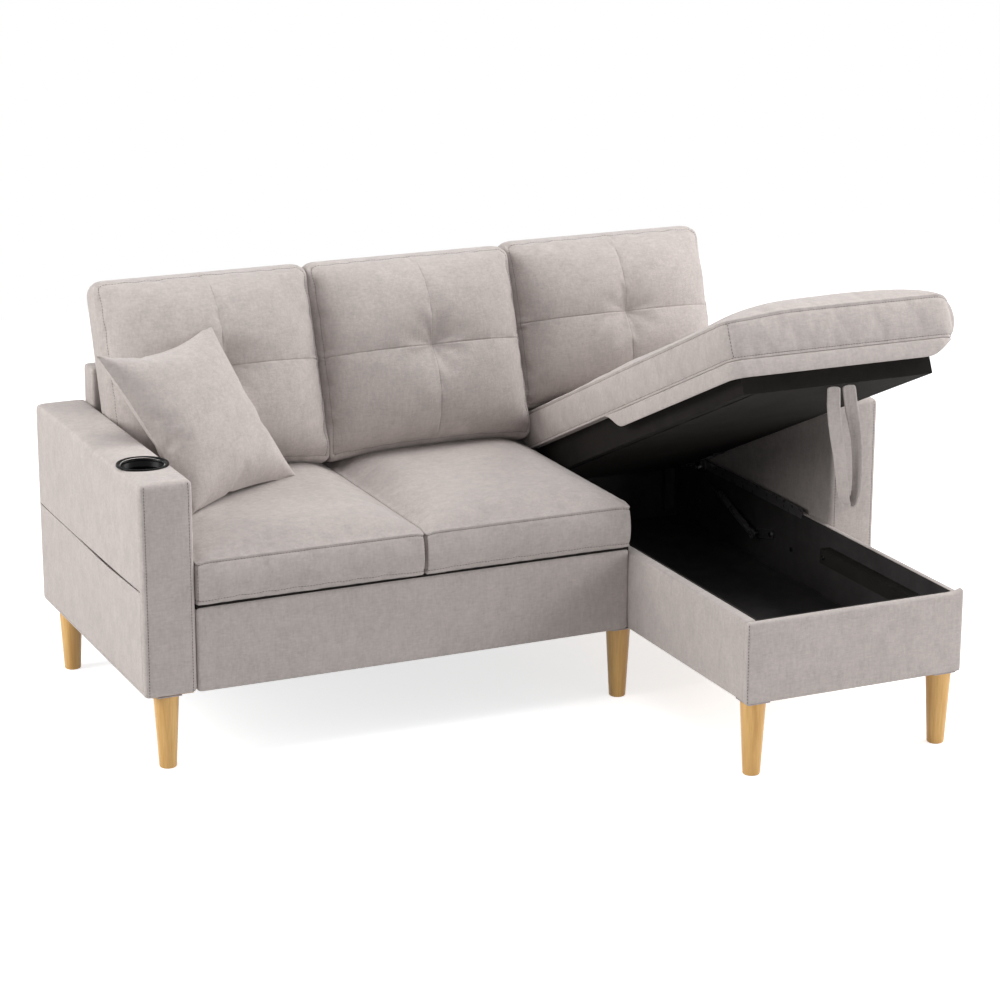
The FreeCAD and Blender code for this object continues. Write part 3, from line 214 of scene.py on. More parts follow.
def enamelled(name, colour, rough, metal=0.0, texture=0.0002, gloss=0.5):
    """Paint, plating or plastic with a little unevenness."""
    shader = Shader(name).set(Metallic=metal, Specular_IOR_Level=gloss)
    cloud = shader.noise((1, 1, 1), 60, 3.0, 0.6)
    speck = shader.noise((1, 1, 1), 1400, 1.0, 0.5)
    shader.coloured(cloud, [(0.35, tinted(colour, 0.82)), (0.65, tinted(colour, 1.15))])
    shader.roughness(cloud, max(0.04, rough - 0.06), rough + 0.08)
    return shader.bump(speck, texture, 0.3).material


linen = woven("linen", linear(184, 175, 171))
thread = woven("sewing_thread", linear(104, 97, 93), 0.08, 0.0)
nonwoven = felted("black_nonwoven", linear(48, 46, 46), linear(73, 70, 70))
charcoal = felted("charcoal_nonwoven", linear(30, 28, 26), linear(47, 44, 41))
# Dark non-woven of the lid frame, and also the painted shade of the black strip in the gap under the
# seat cushions.
dark_cover_and_gap_shade = felted("dark_cover_and_gap_shade", linear(25, 23, 22), linear(41, 38, 36))
leg_wood = grained("golden_wood", linear(196, 146, 76), linear(222, 178, 108))
plain_wood = grained("frame_wood", linear(170, 130, 88), linear(205, 170, 124), 0.6, 0.0)
black_steel = enamelled("black_steel", linear(66, 63, 64), 0.34)
# Painted light: this steel is kept far paler than the sofa's other steel, so that parts sitting in shade
# still read light grey.
rail_steel_painted_light = enamelled("rail_steel_painted_light", linear(158, 150, 152), 0.36, 0.2)
strut_paint = enamelled("strut_paint", linear(84, 81, 83), 0.28, 0.0, 0.00005)
bright_steel = enamelled("bright_steel", linear(196, 196, 198), 0.22, 1.0)
cup_plastic = enamelled("cup_plastic", linear(9, 9, 10), 0.34, 0.0, 0.00005, 0.1)
webbing_cloth = woven("webbing_cloth", linear(70, 60, 52), 0.2, 0.0)

# Mesh helpers

CELL, EDGE_ROWS = 0.011, (0.002, 0.0045, 0.009)
TINY, NEAR = 1e-9, 1e-6


def new_piece(name, points, faces, material, smooth=True):
    """A mesh object in the row frame."""
    mesh = bpy.data.meshes.new(name)
    mesh.from_pydata([tuple(p) for p in points], [], faces)
    mesh.materials.append(material)
    mesh.validate()
    mesh.polygons.foreach_set("use_smooth", [smooth] * len(mesh.polygons))
    piece = bpy.data.objects.new(name, mesh)
    scene.collection.objects.link(piece)
    return piece


def soften(piece):
    """One step of subdivision over a soft piece."""
    modifier = piece.modifiers.new("soft", "SUBSURF")
    modifier.levels = modifier.render_levels = 1


def face_outward(piece, merge=0.0):
    """Merge points that lie together and turn every face outward."""
    work = bmesh.new()
    work.from_mesh(piece.data)
    if merge:
        bmesh.ops.remove_doubles(work, verts=work.verts, dist=merge)
    bmesh.ops.recalc_face_normals(work, faces=work.faces)
    work.to_mesh(piece.data)
    work.free()


def swept_faces(stations, ring):
    """Faces of a closed section carried along a path, with both ends closed."""
    faces = []
    for k in range(stations - 1):
        for n in range(ring):
            m = (n + 1) % ring
            faces.append((k * ring + n, k * ring + m, (k + 1) * ring + m, (k + 1) * ring + n))
    last = (stations - 1) * ring
    return faces + [tuple(reversed(range(ring))), tuple(range(last, last + ring))]


def unit(vectors):
    """The same directions with a length of one."""
    return vectors / np.maximum(np.linalg.norm(vectors, axis=1), TINY)[:, None]


def vertex_normals(points, faces):
    """Unit normal of each point, from its faces."""
    corners = np.array(faces)
    across = points[corners[:, 2]] - points[corners[:, 0]]
    along = points[corners[:, 3]] - points[corners[:, 1]]
    flat = np.cross(across, along)
    total = np.zeros_like(points)
    for column in range(4):
        np.add.at(total, corners[:, column], flat)
    return unit(total)


def rows(length, cell=CELL, near=EDGE_ROWS, marks=()):
    """Shares of a length: even cells, with closer rows at both ends and round each mark."""
    ends = [0.0, *marks, length]
    places = set()
    for low, high in zip(ends, ends[1:]):
        span = high - low
        tight = [t for t in near if t < span / 3]
        start = tight[-1] if tight else 0.0
        count = max(1, round((span - 2 * start) / cell))
        for k in range(count + 1):
            places.add(round(low + start + (span - 2 * start) * k / count, 6))
        for t in (0.0, *tight):
            places.add(round(low + t, 6))
            places.add(round(high - t, 6))
    return np.array(sorted(places)) / length


class Lattice:
    """The closed surface of a box of cells, before it is given its shape."""

    def __init__(self, xs, ys, zs):
        self.counts = len(xs) - 1, len(ys) - 1, len(zs) - 1
        self.index, self.faces, shares = {}, [], []
        for key in np.ndindex(len(xs), len(ys), len(zs)):
            if any(n in (0, count) for n, count in zip(key, self.counts)):
                self.index[key] = len(shares)
                shares.append((xs[key[0]], ys[key[1]], zs[key[2]]))
        self.shares = np.array(shares)
        for axis, flips in ((2, (True, False)), (1, (False, True)), (0, (True, False))):
            a, b = [self.counts[n] for n in range(3) if n != axis]
            for p, q in np.ndindex(a, b):
                walk = (p, q), (p + 1, q), (p + 1, q + 1), (p, q + 1)
                for level, flip in zip((0, self.counts[axis]), flips):
                    face = self.numbers(axis, level, walk)
                    self.faces.append(tuple(face[::-1] if flip else face))

    def numbers(self, axis, level, walk):
        """Point numbers at a level of one axis, along a walk over the other two."""
        return [self.index[(*step[:axis], level, *step[axis:])] for step in walk]

    def ring(self, axis, level, inset=0):
        """Point numbers once round the box at a level of one axis, closed.

        On an end face the walk may lie some rows in from the edge.
        """
        low, (a, b) = inset, [self.counts[n] - inset for n in range(3) if n != axis]
        walk = [(i, low) for i in range(low, a)] + [(a, j) for j in range(low, b)]
        walk += [(i, b) for i in range(a, low, -1)] + [(low, j) for j in range(b, low - 1, -1)]
        return self.numbers(axis, level, walk)

    def row(self, axis, fixed):
        """Point numbers along one axis, with the other two places fixed."""
        keys = [(*fixed[:axis], step, *fixed[axis:]) for step in range(self.counts[axis] + 1)]
        return [self.index[key] for key in keys if key in self.index]


def rounded_plan(first, second, size, radius):
    """Round the four corners of a rectangle that starts at zero, also inside it."""
    result = []
    near = [np.clip(v, radius, s - radius) for v, s in zip((first, second), size)]
    gap = [first - near[0], second - near[1]]
    widest = np.maximum(np.abs(gap[0]), np.abs(gap[1]))
    length = np.maximum(np.hypot(gap[0], gap[1]), TINY)
    for middle, part in zip(near, gap):
        result.append(middle + part * widest / length)
    return result


CLOTH_FRAMES = 20
CLOTH = {"quality": 4, "mass": 0.25, "tension_stiffness": 12, "compression_stiffness": 12,
         "shear_stiffness": 4, "bending_stiffness": 0.35, "use_pressure": True,
         "vertex_group_mass": "held"}


def inflate(points, faces, held, pressure, cap, spare):
    """Blow a closed cloth up a little between its held points, and cap how far each may go."""
    mesh = bpy.data.meshes.new("soft_start")
    mesh.from_pydata([tuple(p) for p in points], [], faces)
    cloth = bpy.data.objects.new("soft_start", mesh)
    scene.collection.objects.link(cloth)
    group = cloth.vertex_groups.new(name="held")
    for weight in np.unique(held):
        if weight > 0:
            group.add(np.nonzero(held == weight)[0].tolist(), float(weight), "REPLACE")
    modifier = cloth.modifiers.new("cloth", "CLOTH")
    for key, value in CLOTH.items():
        setattr(modifier.settings, key, value)
    modifier.settings.uniform_pressure_force = pressure
    modifier.settings.effector_weights.gravity = 0
    modifier.settings.shrink_min = -spare
    modifier.collision_settings.use_collision = False
    modifier.collision_settings.use_self_collision = False
    modifier.point_cache.frame_start = 1
    modifier.point_cache.frame_end = CLOTH_FRAMES
    for number in range(1, CLOTH_FRAMES + 1):
        scene.frame_set(number)
    shown = cloth.evaluated_get(bpy.context.evaluated_depsgraph_get())
    moved = np.zeros(len(points) * 3)
    shown.data.vertices.foreach_get("co", moved)
    bpy.data.objects.remove(cloth)
    scene.frame_set(1)
    shift = moved.reshape(-1, 3) - points
    length = np.maximum(np.linalg.norm(shift, axis=1), TINY)
    return points + shift * (cap * np.tanh(length / cap) / length)[:, None]


def smoothed(points, faces):
    """Where one step of subdivision takes each point of a closed surface of four-sided faces."""
    corners = np.array(faces)
    spots = points[corners]
    middle = spots.mean(1)
    face_sum, edge_sum = np.zeros_like(points), np.zeros_like(points)
    count = np.zeros(len(points))
    for k in range(4):
        half_way = (spots[:, k - 1] + spots[:, (k + 1) % 4]) / 2
        np.add.at(face_sum, corners[:, k], middle)
        np.add.at(edge_sum, corners[:, k], spots[:, k] + half_way)
        np.add.at(count, corners[:, k], 1)
    count = count[:, None]
    return (face_sum / count + edge_sum / count + (count - 3) * points) / count


STITCH_PITCH, STITCH_LENGTH, STITCH_WIDTH = 0.0068, 0.0050, 0.0016
STITCH_LIFT_SHARE, STITCH_THICKNESS_SHARE = 0.45, 0.4
STITCH_SECTIONS = ((-1, 0.5, -0.3), (0, 1.0, 1.0), (1, 0.5, -0.3))
STITCHES = {}


def stitched(body, points, normals):
    """Add a run of raised stitches along a path on a surface, kept with its body's others.

    A stitch is a slim bead of three sections, each a place along it, a width and a height as shares.
    """
    steps = np.linalg.norm(np.diff(points, axis=0), axis=1)
    run = np.concatenate([[0.0], np.cumsum(steps)])
    count = int(run[-1] / STITCH_PITCH)
    if count < 1:
        return
    middles = (np.arange(count) + 0.5) * run[-1] / count
    half = STITCH_LENGTH / 2

    def at(places, values):
        return np.stack([np.interp(places, run, values[:, c]) for c in range(3)], 1)

    ahead = unit(at(middles + half, points) - at(middles - half, points))
    up = unit(at(middles, normals))
    side = np.cross(up, ahead)
    verts, faces = STITCHES.setdefault(body, ([], []))
    for c, a, u, s in zip(at(middles, points), ahead, up, side):
        start = len(verts)
        for along, wide, high in STITCH_SECTIONS:
            middle = c + a * along * half + u * high * STITCH_WIDTH * STITCH_LIFT_SHARE
            for across, rise in ((-1, 0), (0, 1), (1, 0), (0, -1)):
                verts.append(middle + s * across * wide * STITCH_WIDTH / 2
                             + u * rise * STITCH_WIDTH * STITCH_THICKNESS_SHARE)
        for first in (start, start + 4):
            for k in range(4):
                n = (k + 1) % 4
                faces.append((first + k, first + n, first + 4 + n, first + 4 + k))


def declare(piece, body, nodes=()):
    """Say which body a piece rides, which nodes it stands for."""
    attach(piece, body)
    if nodes:
        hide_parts(*nodes)


def finished(name, lattice, points, body, nodes, seams=(), grooves=()):
    """Make a soft piece from a lattice: press its grooves in, sew its seams, set it on its body."""
    normals = vertex_normals(points, lattice.faces)
    for numbers, rise in grooves:
        numbers = sorted(set(numbers))
        points[numbers] += normals[numbers] * rise
    resting = smoothed(points, lattice.faces)
    normals = vertex_normals(resting, lattice.faces)
    for numbers in seams:
        stitched(body, resting[numbers], normals[numbers])
    piece = new_piece(name, points, lattice.faces, linen)
    soften(piece)
    declare(piece, body, nodes)
    return piece


def turned_about(points, axis_point, angle):
    """Turn points about an axis along X; a positive angle lifts what is in front of it."""
    y, z = points[:, 1] - axis_point[0], points[:, 2] - axis_point[1]
    c, s = math.cos(angle), math.sin(angle)
    return np.stack([points[:, 0], axis_point[0] + y * c + z * s, axis_point[1] - y * s + z * c], 1)


def ease(share):
    """A smooth step from nothing to one."""
    share = np.clip(share, 0, 1)
    return share * share * (3 - 2 * share)


def swell(share, power):
    """Rises from nothing at both ends of a share to one in its middle."""
    return np.clip(1 - np.abs(2 * share - 1) ** power, 0, 1)


def bell(distance, reach):
    """One at no distance, and almost nothing at twice the reach."""
    return np.exp(-(distance / reach) ** 2)


def ends_of(share):
    """Minus one at the low end of a share, one at its high end and nothing between."""
    return np.where(share < NEAR, -1, np.where(share > 1 - NEAR, 1, 0))


def dents(points, seed, size, depth):
    """Small slow unevenness of a soft surface."""
    phase = seed * 1.7
    wave = np.sin(points[:, 0] * size + phase) * np.sin(points[:, 1] * size * 0.8 + phase * 2)
    wave += np.sin(points[:, 2] * size * 1.3 + phase * 3) * np.sin(points[:, 0] * size * 0.6 - phase)
    return wave * depth / 2


# Places on the frame

ARM_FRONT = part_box("left_arm_cover")[0].y
ARM_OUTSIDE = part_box("left_arm_cover")[0].x
ARM_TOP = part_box("left_arm_cover")[1].z
SEAT_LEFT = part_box("left_arm_cover")[1].x
CHAISE_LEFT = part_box("chaise_left_wall")[0].x
CHAISE_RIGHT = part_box("chaise_right_wall")[1].x
SEAT_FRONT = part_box("seat_cushion_left")[0].y
SEAT_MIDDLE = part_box("seat_cushion_middle")[0].x - 0.0008
SEAT_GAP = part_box("seat_cushion_middle")[0].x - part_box("seat_cushion_left")[1].x

# Seat cushions

BOXING = 0.097
SEAT_LEVELS = np.array((0, 2, 5.5, 9, 12.5, 15.5, 24, 36, 48, 60, 72, 81, 87, 90.5, 93.2, 95.5, 97)) / 97
SEAT_CLEARANCE, SEAT_SETBACK = 0.0012, 0.004
SEAT_CORNER, SEAT_ROLL = 0.009, 0.0065
SEAT_CROWN, SEAT_BULGE, SEAT_SIDE_BULGE = 0.028, 0.009, 0.0012
SEAT_SAG, SEAT_SAG_REACH = 0.002, 0.03
SEAT_CORNER_DROP, SEAT_CORNER_REACH = 0.005, 0.014
SEAT_CROWN_PLACES = (0, .012, .04, .1, .2, .4, .66, .82, .92, 1)
SEAT_CROWN_SHARES = (0, .34, .66, .88, .98, 1, 1, .92, .66, .05)
SPLIT_SHIFT, RIGHT_SHIFT = 0.014, 0.004


def seat_cushion(name, node, body, left_shift, right_shift, seed):
    """Boxed seat cushion: crowned top, a ridged, topstitched upper seam, a rolled lower edge."""
    low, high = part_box(node)
    left = low.x + SEAT_CLEARANCE + left_shift
    width = high.x - SEAT_CLEARANCE + right_shift - left
    depth = high.y - low.y - SEAT_SETBACK
    lattice = Lattice(rows(width), rows(depth), SEAT_LEVELS)
    u, v, w = lattice.shares.T
    x, y = rounded_plan(u * width, v * depth, (width, depth), SEAT_CORNER)
    z = w * BOXING
    below = np.clip(SEAT_ROLL - z, 0, SEAT_ROLL)
    inset = SEAT_ROLL - np.sqrt(np.maximum(SEAT_ROLL ** 2 - below ** 2, 0))
    x = width / 2 + (x - width / 2) * (1 - 2 * inset / width)
    y = y + inset * (1 - v)
    from_corner = np.hypot(np.minimum(u, 1 - u) * width, v * depth)
    z = z - SEAT_SAG * (1 - w) * bell(y, SEAT_SAG_REACH)
    z = z - SEAT_CORNER_DROP * w ** 4 * bell(from_corner, SEAT_CORNER_REACH)
    crown = swell(u, 6) ** 0.65 * np.interp(v, SEAT_CROWN_PLACES, SEAT_CROWN_SHARES)
    top = w > 1 - NEAR
    z = np.where(top, z + SEAT_CROWN * crown, z)
    side = np.where(top | (w < NEAR), 0, swell(w, 2.2))
    x = x + ends_of(u) * side * SEAT_SIDE_BULGE
    y = y + np.minimum(ends_of(v), 0) * side * SEAT_BULGE
    points = np.stack([left + x, low.y + SEAT_SETBACK + y, low.z + z], 1)
    count = lattice.counts
    held = np.where(w < NEAR, 1.0, 0.0)
    rim = lattice.ring(2, count[2])
    held[rim] = 0.9
    held[(v > 1 - NEAR)] = 1.0
    held[(u < NEAR) | (u > 1 - NEAR)] = 1.0
    points = inflate(points, lattice.faces, held, 2.5, 0.012, 0.01)
    points[:, 2] += np.where(top, dents(points, seed, 11, 0.0035) * crown, 0)
    foot_row, top_row = 4, count[2] - 2
    stitch_low, stitch_high = lattice.ring(2, foot_row), lattice.ring(2, top_row)
    corners = [lattice.row(2, (end, 0))[foot_row:-2] for end in (0, count[0])]
    grooves = [(rim, 0.0020), (stitch_high, -0.0026), (stitch_low, -0.0020),
               (lattice.ring(2, foot_row - 1), 0.0008), (lattice.ring(2, count[2], 1), 0.0010),
               (lattice.ring(2, count[2], 3), -0.0008), (corners[0], -0.0014), (corners[1], -0.0014)]
    seams = [stitch_low, stitch_high, *corners]
    finished(name, lattice, points, body, [node], seams, grooves)


seat_cushion("seat_pad_left", "seat_cushion_left", "seat_left", 0.0, SPLIT_SHIFT + SEAT_GAP / 2, 1)
seat_cushion("seat_pad_middle", "seat_cushion_middle", "seat_middle", SPLIT_SHIFT - SEAT_GAP / 2,
             RIGHT_SHIFT, 2.4)

# Painted shade: a black strip set in the gap under the seat cushions darkens it like the shadow there.
DECK_SHADE_DEPTH, DECK_SHADE_LOW, DECK_SHADE_HIGH = 0.02, 0.352, 0.3602
DECK_SHADE_SETBACK, DECK_SHADE_CLEARANCE = 0.003, 0.001


def deck_shade_strip():
    """A black strip in the gap between the base panel and the cushions, where the seat deck's cloth
    would show: painted shade that stands for the shadow in that gap.
    """
    front = max(SEAT_FRONT + SEAT_SETBACK, ARM_FRONT) + DECK_SHADE_SETBACK
    low = np.array((SEAT_LEFT + DECK_SHADE_CLEARANCE, front, DECK_SHADE_LOW))
    high = np.array((CHAISE_LEFT - DECK_SHADE_CLEARANCE, front + DECK_SHADE_DEPTH, DECK_SHADE_HIGH))
    lattice = Lattice(*[np.array((0.0, 1.0))] * 3)
    piece = new_piece("deck_shade_strip", low + lattice.shares * (high - low), lattice.faces, dark_cover_and_gap_shade,
                      smooth=False)
    declare(piece, "frame")


deck_shade_strip()

# Back cushions

LEAN = math.radians(18.5)
BACK_EDGE, BACK_PUFF, BACK_GAP = 0.058, 0.104, 0.0012
BACK_TOP_CORNER, BACK_FOOT_CORNER = 0.028, 0.016
WELT_ROWS = (0.0016, 0.0045, 0.0085, 0.0125, 0.0175)
TUFT_SHARE, TUFT_REACH = 0.15, 0.034
UPRIGHT_VALLEY_SHARE, UPRIGHT_VALLEY = 0.045, 0.03
LEVEL_VALLEY_SHARE, LEVEL_VALLEY = 0.05, 0.036
CREASE_COUNT, CREASE_DEPTH, CREASE_RADIUS, CREASE_REACH = 8, 0.0009, 0.045, 0.03


def back_cushion(name, node, body, left, right, seed, height=0.449, rear_puff=0.033,
                 place_y=0.4747, bottom=0.482, droop=0.013):
    """Back cushion with four soft panels, their crossed seams and a tuft in the middle."""
    width = right - left - BACK_GAP
    lattice = Lattice(rows(width, near=WELT_ROWS, marks=(width / 2,)), rows(BACK_EDGE, 0.012),
                      rows(height, near=WELT_ROWS, marks=(height / 2,)))
    u, v, w = lattice.shares.T
    x, z = rounded_plan(u * width, w * height, (width, height), BACK_TOP_CORNER)
    x_foot, z_foot = rounded_plan(u * width, w * height, (width, height), BACK_FOOT_CORNER)
    x, z = np.where(w < 0.5, x_foot, x), np.where(w < 0.5, z_foot, z)
    front, rear = v < NEAR, v > 1 - NEAR
    end_share = np.clip(np.minimum(w, 1 - w) / 0.06, 0, 1) ** 0.5
    y = -BACK_EDGE * (0.8 + 0.2 * end_share) * (1 - v)
    across, level = x - width / 2, z - height / 2
    radius = np.hypot(across, level)
    crown = swell(u, 3.0) ** 0.66 * swell(w, 3.0) ** 0.62
    pulled_in = TUFT_SHARE * np.exp(-(radius / TUFT_REACH) ** 1.25)
    pulled_in += UPRIGHT_VALLEY_SHARE * bell(across, UPRIGHT_VALLEY)
    pulled_in += LEVEL_VALLEY_SHARE * bell(level, LEVEL_VALLEY)
    creases = CREASE_DEPTH * np.cos(CREASE_COUNT * np.arctan2(level, across) + seed)
    creases = creases * bell(radius - CREASE_RADIUS, CREASE_REACH)
    y = np.where(front, y - BACK_PUFF * crown * (1 - pulled_in) + creases * crown, y)
    y = np.where(rear, rear_puff * swell(u, 3) ** 0.8 * swell(w, 3) ** 0.8, y)
    sides = np.where(front | rear, 0, swell(v, 2.2)) * 0.004
    x = x + sides * ends_of(u) * 0.3
    z = z + sides * ends_of(w)
    z = z - droop * (1 - w) ** 3 * (1 - swell(u, 3))
    points = np.stack([x - width / 2, y, z], 1)
    count = lattice.counts
    middle = count[0] // 2, count[2] // 2
    rim = lattice.ring(1, 0)
    upright, crossing = lattice.row(2, (middle[0], 0)), lattice.row(0, (0, middle[1]))
    held = np.where(rear, 1.0, 0.0)
    held[(u < NEAR) | (u > 1 - NEAR) | (w < NEAR) | (w > 1 - NEAR)] = 1.0
    held[(radius < 0.012) & front] = 1.0
    for numbers in (upright, crossing):
        held[numbers] = np.maximum(held[numbers], 0.3)
    points = inflate(points, lattice.faces, held, 4.0, 0.010, 0.02)
    points[:, 1] += np.where(front, dents(points, seed, 19, 0.005) * crown, 0)
    c, s = math.cos(LEAN), math.sin(LEAN)
    points = np.stack([points[:, 0] + (left + right) / 2,
                       place_y + points[:, 1] * c + points[:, 2] * s,
                       bottom - points[:, 1] * s + points[:, 2] * c], 1)
    welt = lattice.ring(1, 0, 3)
    beside = []
    for step in (-1, 1):
        beside += lattice.row(2, (middle[0] + step, 0))[2:-2]
        beside += lattice.row(0, (0, middle[1] + step))[2:-2]
    half = len(upright) // 2
    grooves = [(rim, 0.0010), (welt, -0.0017), (lattice.ring(1, 0, 2), 0.0006),
               (upright[3:half], -0.0013), (upright[half:-3], -0.0005), (crossing[3:-3], -0.0022),
               (beside, 0.0004)]
    finished(name, lattice, points, body, [node], [welt], grooves)


back_cushion("back_pad_left", "back_cushion_left", "back_left", SEAT_LEFT, SEAT_MIDDLE, 1.2)
back_cushion("back_pad_middle", "back_cushion_middle", "back_middle", SEAT_MIDDLE, CHAISE_LEFT, 2.9)
back_cushion("back_pad_right", "back_cushion_right", "back_right", CHAISE_LEFT, CHAISE_RIGHT, 4.3,
             height=0.402, rear_puff=0.016, place_y=0.5087, bottom=0.53, droop=0.0)

# Throw pillow

PILLOW_WIDTH, PILLOW_HEIGHT, PILLOW_SLUMP = 0.362, 0.39, 0.084
PILLOW_HALF_SEAM, PILLOW_HALF_FULL = 0.002, 0.05
PILLOW_SIDE_CURVE, PILLOW_TOP_CURVE, PILLOW_FOOT_CURVE = 0.03, 0.058, 0.03
PILLOW_CORNER_SHIFT, PILLOW_ROWS = 0.014, (0.003, 0.007)
PILLOW_TURN, PILLOW_LEAN = math.radians(31), math.radians(28)
PILLOW_PLACE = Vector((SEAT_LEFT + 0.230, ARM_FRONT + 0.325, 0.4898))


def throw_pillow():
    """Plain square pillow, blown up between its seams so that its corners stay thin."""
    lattice = Lattice(rows(PILLOW_WIDTH, CELL, PILLOW_ROWS), np.array([0.0, 0.5, 1.0]),
                      rows(PILLOW_HEIGHT, CELL, PILLOW_ROWS))
    u, v, w = lattice.shares.T
    full = (swell(u, 1.9) * swell(w, 1.9)) ** 0.5
    x = (u - 0.5) * (PILLOW_WIDTH - PILLOW_SIDE_CURVE * swell(w, 2.2)) - PILLOW_SLUMP * w
    x = x + PILLOW_CORNER_SHIFT * u * w
    curve = np.where(w > 0.5, PILLOW_TOP_CURVE, PILLOW_FOOT_CURVE)
    z = w * PILLOW_HEIGHT + (0.5 - w) * curve * swell(u, 2.0)
    y = (v - 0.5) * 2 * (PILLOW_HALF_SEAM + PILLOW_HALF_FULL * full)
    points = np.stack([x, y, z], 1)
    seam = np.abs(v - 0.5) < NEAR
    held = np.where(seam, 0.35, 0.0)
    points = inflate(points, lattice.faces, held, 5.0, 0.02, 0.03)
    points[:, 1] += dents(points, 3.1, 19, 0.003) * full
    matrix = Matrix.Rotation(PILLOW_TURN, 3, "Z") @ Matrix.Rotation(-PILLOW_LEAN, 3, "X")
    points = points @ np.array(matrix).T + np.array(PILLOW_PLACE)
    finished("pillow_cover", lattice, points, "pillow", ["throw_pillow"],
             grooves=[(np.nonzero(seam)[0].tolist(), 0.0026)])


throw_pillow()

# Lid cushion and the fabric band below it, drawn closed and turned to the open angle

PIVOT = (0.5765, 0.348)
LID_ANGLE = math.radians(24)
LID_FRONT, LID_LENGTH = -0.6555, 1.167
LID_LEFT, LID_RIGHT, LID_WIDE = 0.2615, 0.762, 0.822
LID_WIDE_LENGTH, LID_STEP = 0.528, 0.006
LID_BOTTOM, LID_BOXING, LID_CROWN = 0.388, 0.084, 0.028
LID_LEFT_CORNER, LID_RIGHT_CORNER, LID_NOSE = 0.03, 0.046, 0.2
LID_CORNER_RISE, LID_END_DROP, LID_END_REACH, LID_END_INSET = 0.010, 0.018, 0.05, 0.012
LID_BULGE, LID_FRONT_BULGE, LID_END_BULGE = 0.004, 0.005, 0.006
GATHER_DEPTH, GATHER_PITCH, GATHER_REACH = 0.0016, 0.019, 0.05
LID_LEVELS = np.array((0, 2, 5, 9, 16, 27, 39, 51, 62, 69, 73.5, 76, 78)) / 78
LID_CROWN_PLACES = (0, .008, .03, .08, .2, .62, .84, .97, 1)
LID_CROWN_SHARES = (0, .36, .72, .92, 1, 1, .8, .45, .1)


def lid_cushion():
    """Long cushion of the lid, wider and rounded at its end in front of the right arm."""
    lattice = Lattice(rows(0.54), rows(LID_LENGTH, 0.0125, marks=(LID_WIDE_LENGTH,)), LID_LEVELS)
    u, v, w = lattice.shares.T
    y = v * LID_LENGTH
    step = 1 / (1 + np.exp((y - LID_WIDE_LENGTH) / LID_STEP))
    widths = (LID_RIGHT - LID_LEFT) + (LID_WIDE - LID_RIGHT) * step
    x = u * widths
    plan = LID_WIDE - LID_LEFT, LID_LENGTH
    x_right, y_right = rounded_plan(x, y, plan, LID_RIGHT_CORNER)
    x_left, y_left = rounded_plan(x, y, plan, LID_LEFT_CORNER)
    nose = y < LID_NOSE
    x = np.where(nose, np.where(u < 0.5, x_left, x_right), x)
    y = np.where(nose, np.where(u < 0.5, y_left, y_right), y)
    top = w > 1 - NEAR
    crown = swell(u, 3.4) ** 0.7 * np.interp(v, LID_CROWN_PLACES, LID_CROWN_SHARES)
    end = np.clip((x - widths + LID_END_REACH) / LID_END_REACH, 0, 1) ** 2 * step
    boxing = LID_BOXING + LID_CORNER_RISE * ease(u / 0.3) * (1 - ease(v / 0.5)) - LID_END_DROP * end
    z = LID_BOTTOM + w * boxing + np.where(top, LID_CROWN * crown, 0)
    side = np.where(top | (w < NEAR), 0, swell(w, 2.0))
    gather = GATHER_DEPTH * np.sin(z * 2 * math.pi / GATHER_PITCH) * swell(w, 3)
    gather = gather * bell(np.hypot(x, y), GATHER_REACH)
    right_bulge = (LID_BULGE + LID_END_BULGE * step) * side
    x = x + np.where(u < NEAR, -LID_BULGE * side - gather, np.where(u > 1 - NEAR, right_bulge, 0))
    y = y + np.where(v < NEAR, -LID_FRONT_BULGE * side - gather, 0)
    x = x - LID_END_INSET * end * (1 - w) ** 3
    points = np.stack([LID_LEFT + x, LID_FRONT + y, z], 1)
    count = lattice.counts
    rim, foot = lattice.ring(2, count[2]), lattice.ring(2, 0)
    held = np.where(w < NEAR, 1.0, 0.0)
    held[rim] = 0.8
    held[v > 1 - NEAR] = 1.0
    points = inflate(points, lattice.faces, held, 3.0, 0.012, 0.012)
    points[:, 2] += np.where(top, dents(points, 5.2, 9, 0.004) * crown, 0)
    points = turned_about(points, PIVOT, LID_ANGLE)
    stitch_low, stitch_high = lattice.ring(2, 2), lattice.ring(2, count[2] - 2)
    corner = lattice.row(2, (0, 0))[2:-2]
    grooves = [(rim, 0.0014), (foot, 0.0004), (stitch_high, -0.0022), (stitch_low, -0.0020),
               (lattice.ring(2, count[2], 1), 0.0008), (corner, -0.0022)]
    finished("lid_pad", lattice, points, "lid", ["lid_cushion"], [stitch_low, stitch_high, corner],
             grooves)


lid_cushion()

BAND_LEFT, BAND_RIGHT, BAND_FRONT, BAND_REAR = 0.2618, 0.811, -0.6552, -0.0185
BAND_FOOT, BAND_CELL = 0.3488, 0.014
LEFT_SWEEP, LEFT_SWEEP_LENGTH = -0.1, 0.078
RIGHT_SWEEP, RIGHT_SWEEP_LENGTH, RIGHT_SWEEP_SHARE = 0.735, 0.08, 0.94
BAND_PROFILE = ((0.0016, 0.0), (0.0030, 0.05), (0.0040, 0.2), (0.0042, 0.55), (0.0034, 0.8),
                (0.0016, 0.95), (0.0, 1.0), (-0.02, 1.0), (-0.024, 0.6), (-0.024, 0.36),
                (-0.02, 0.25), (-0.003, 0.245), (0.0010, 0.2), (0.0010, 0.04))


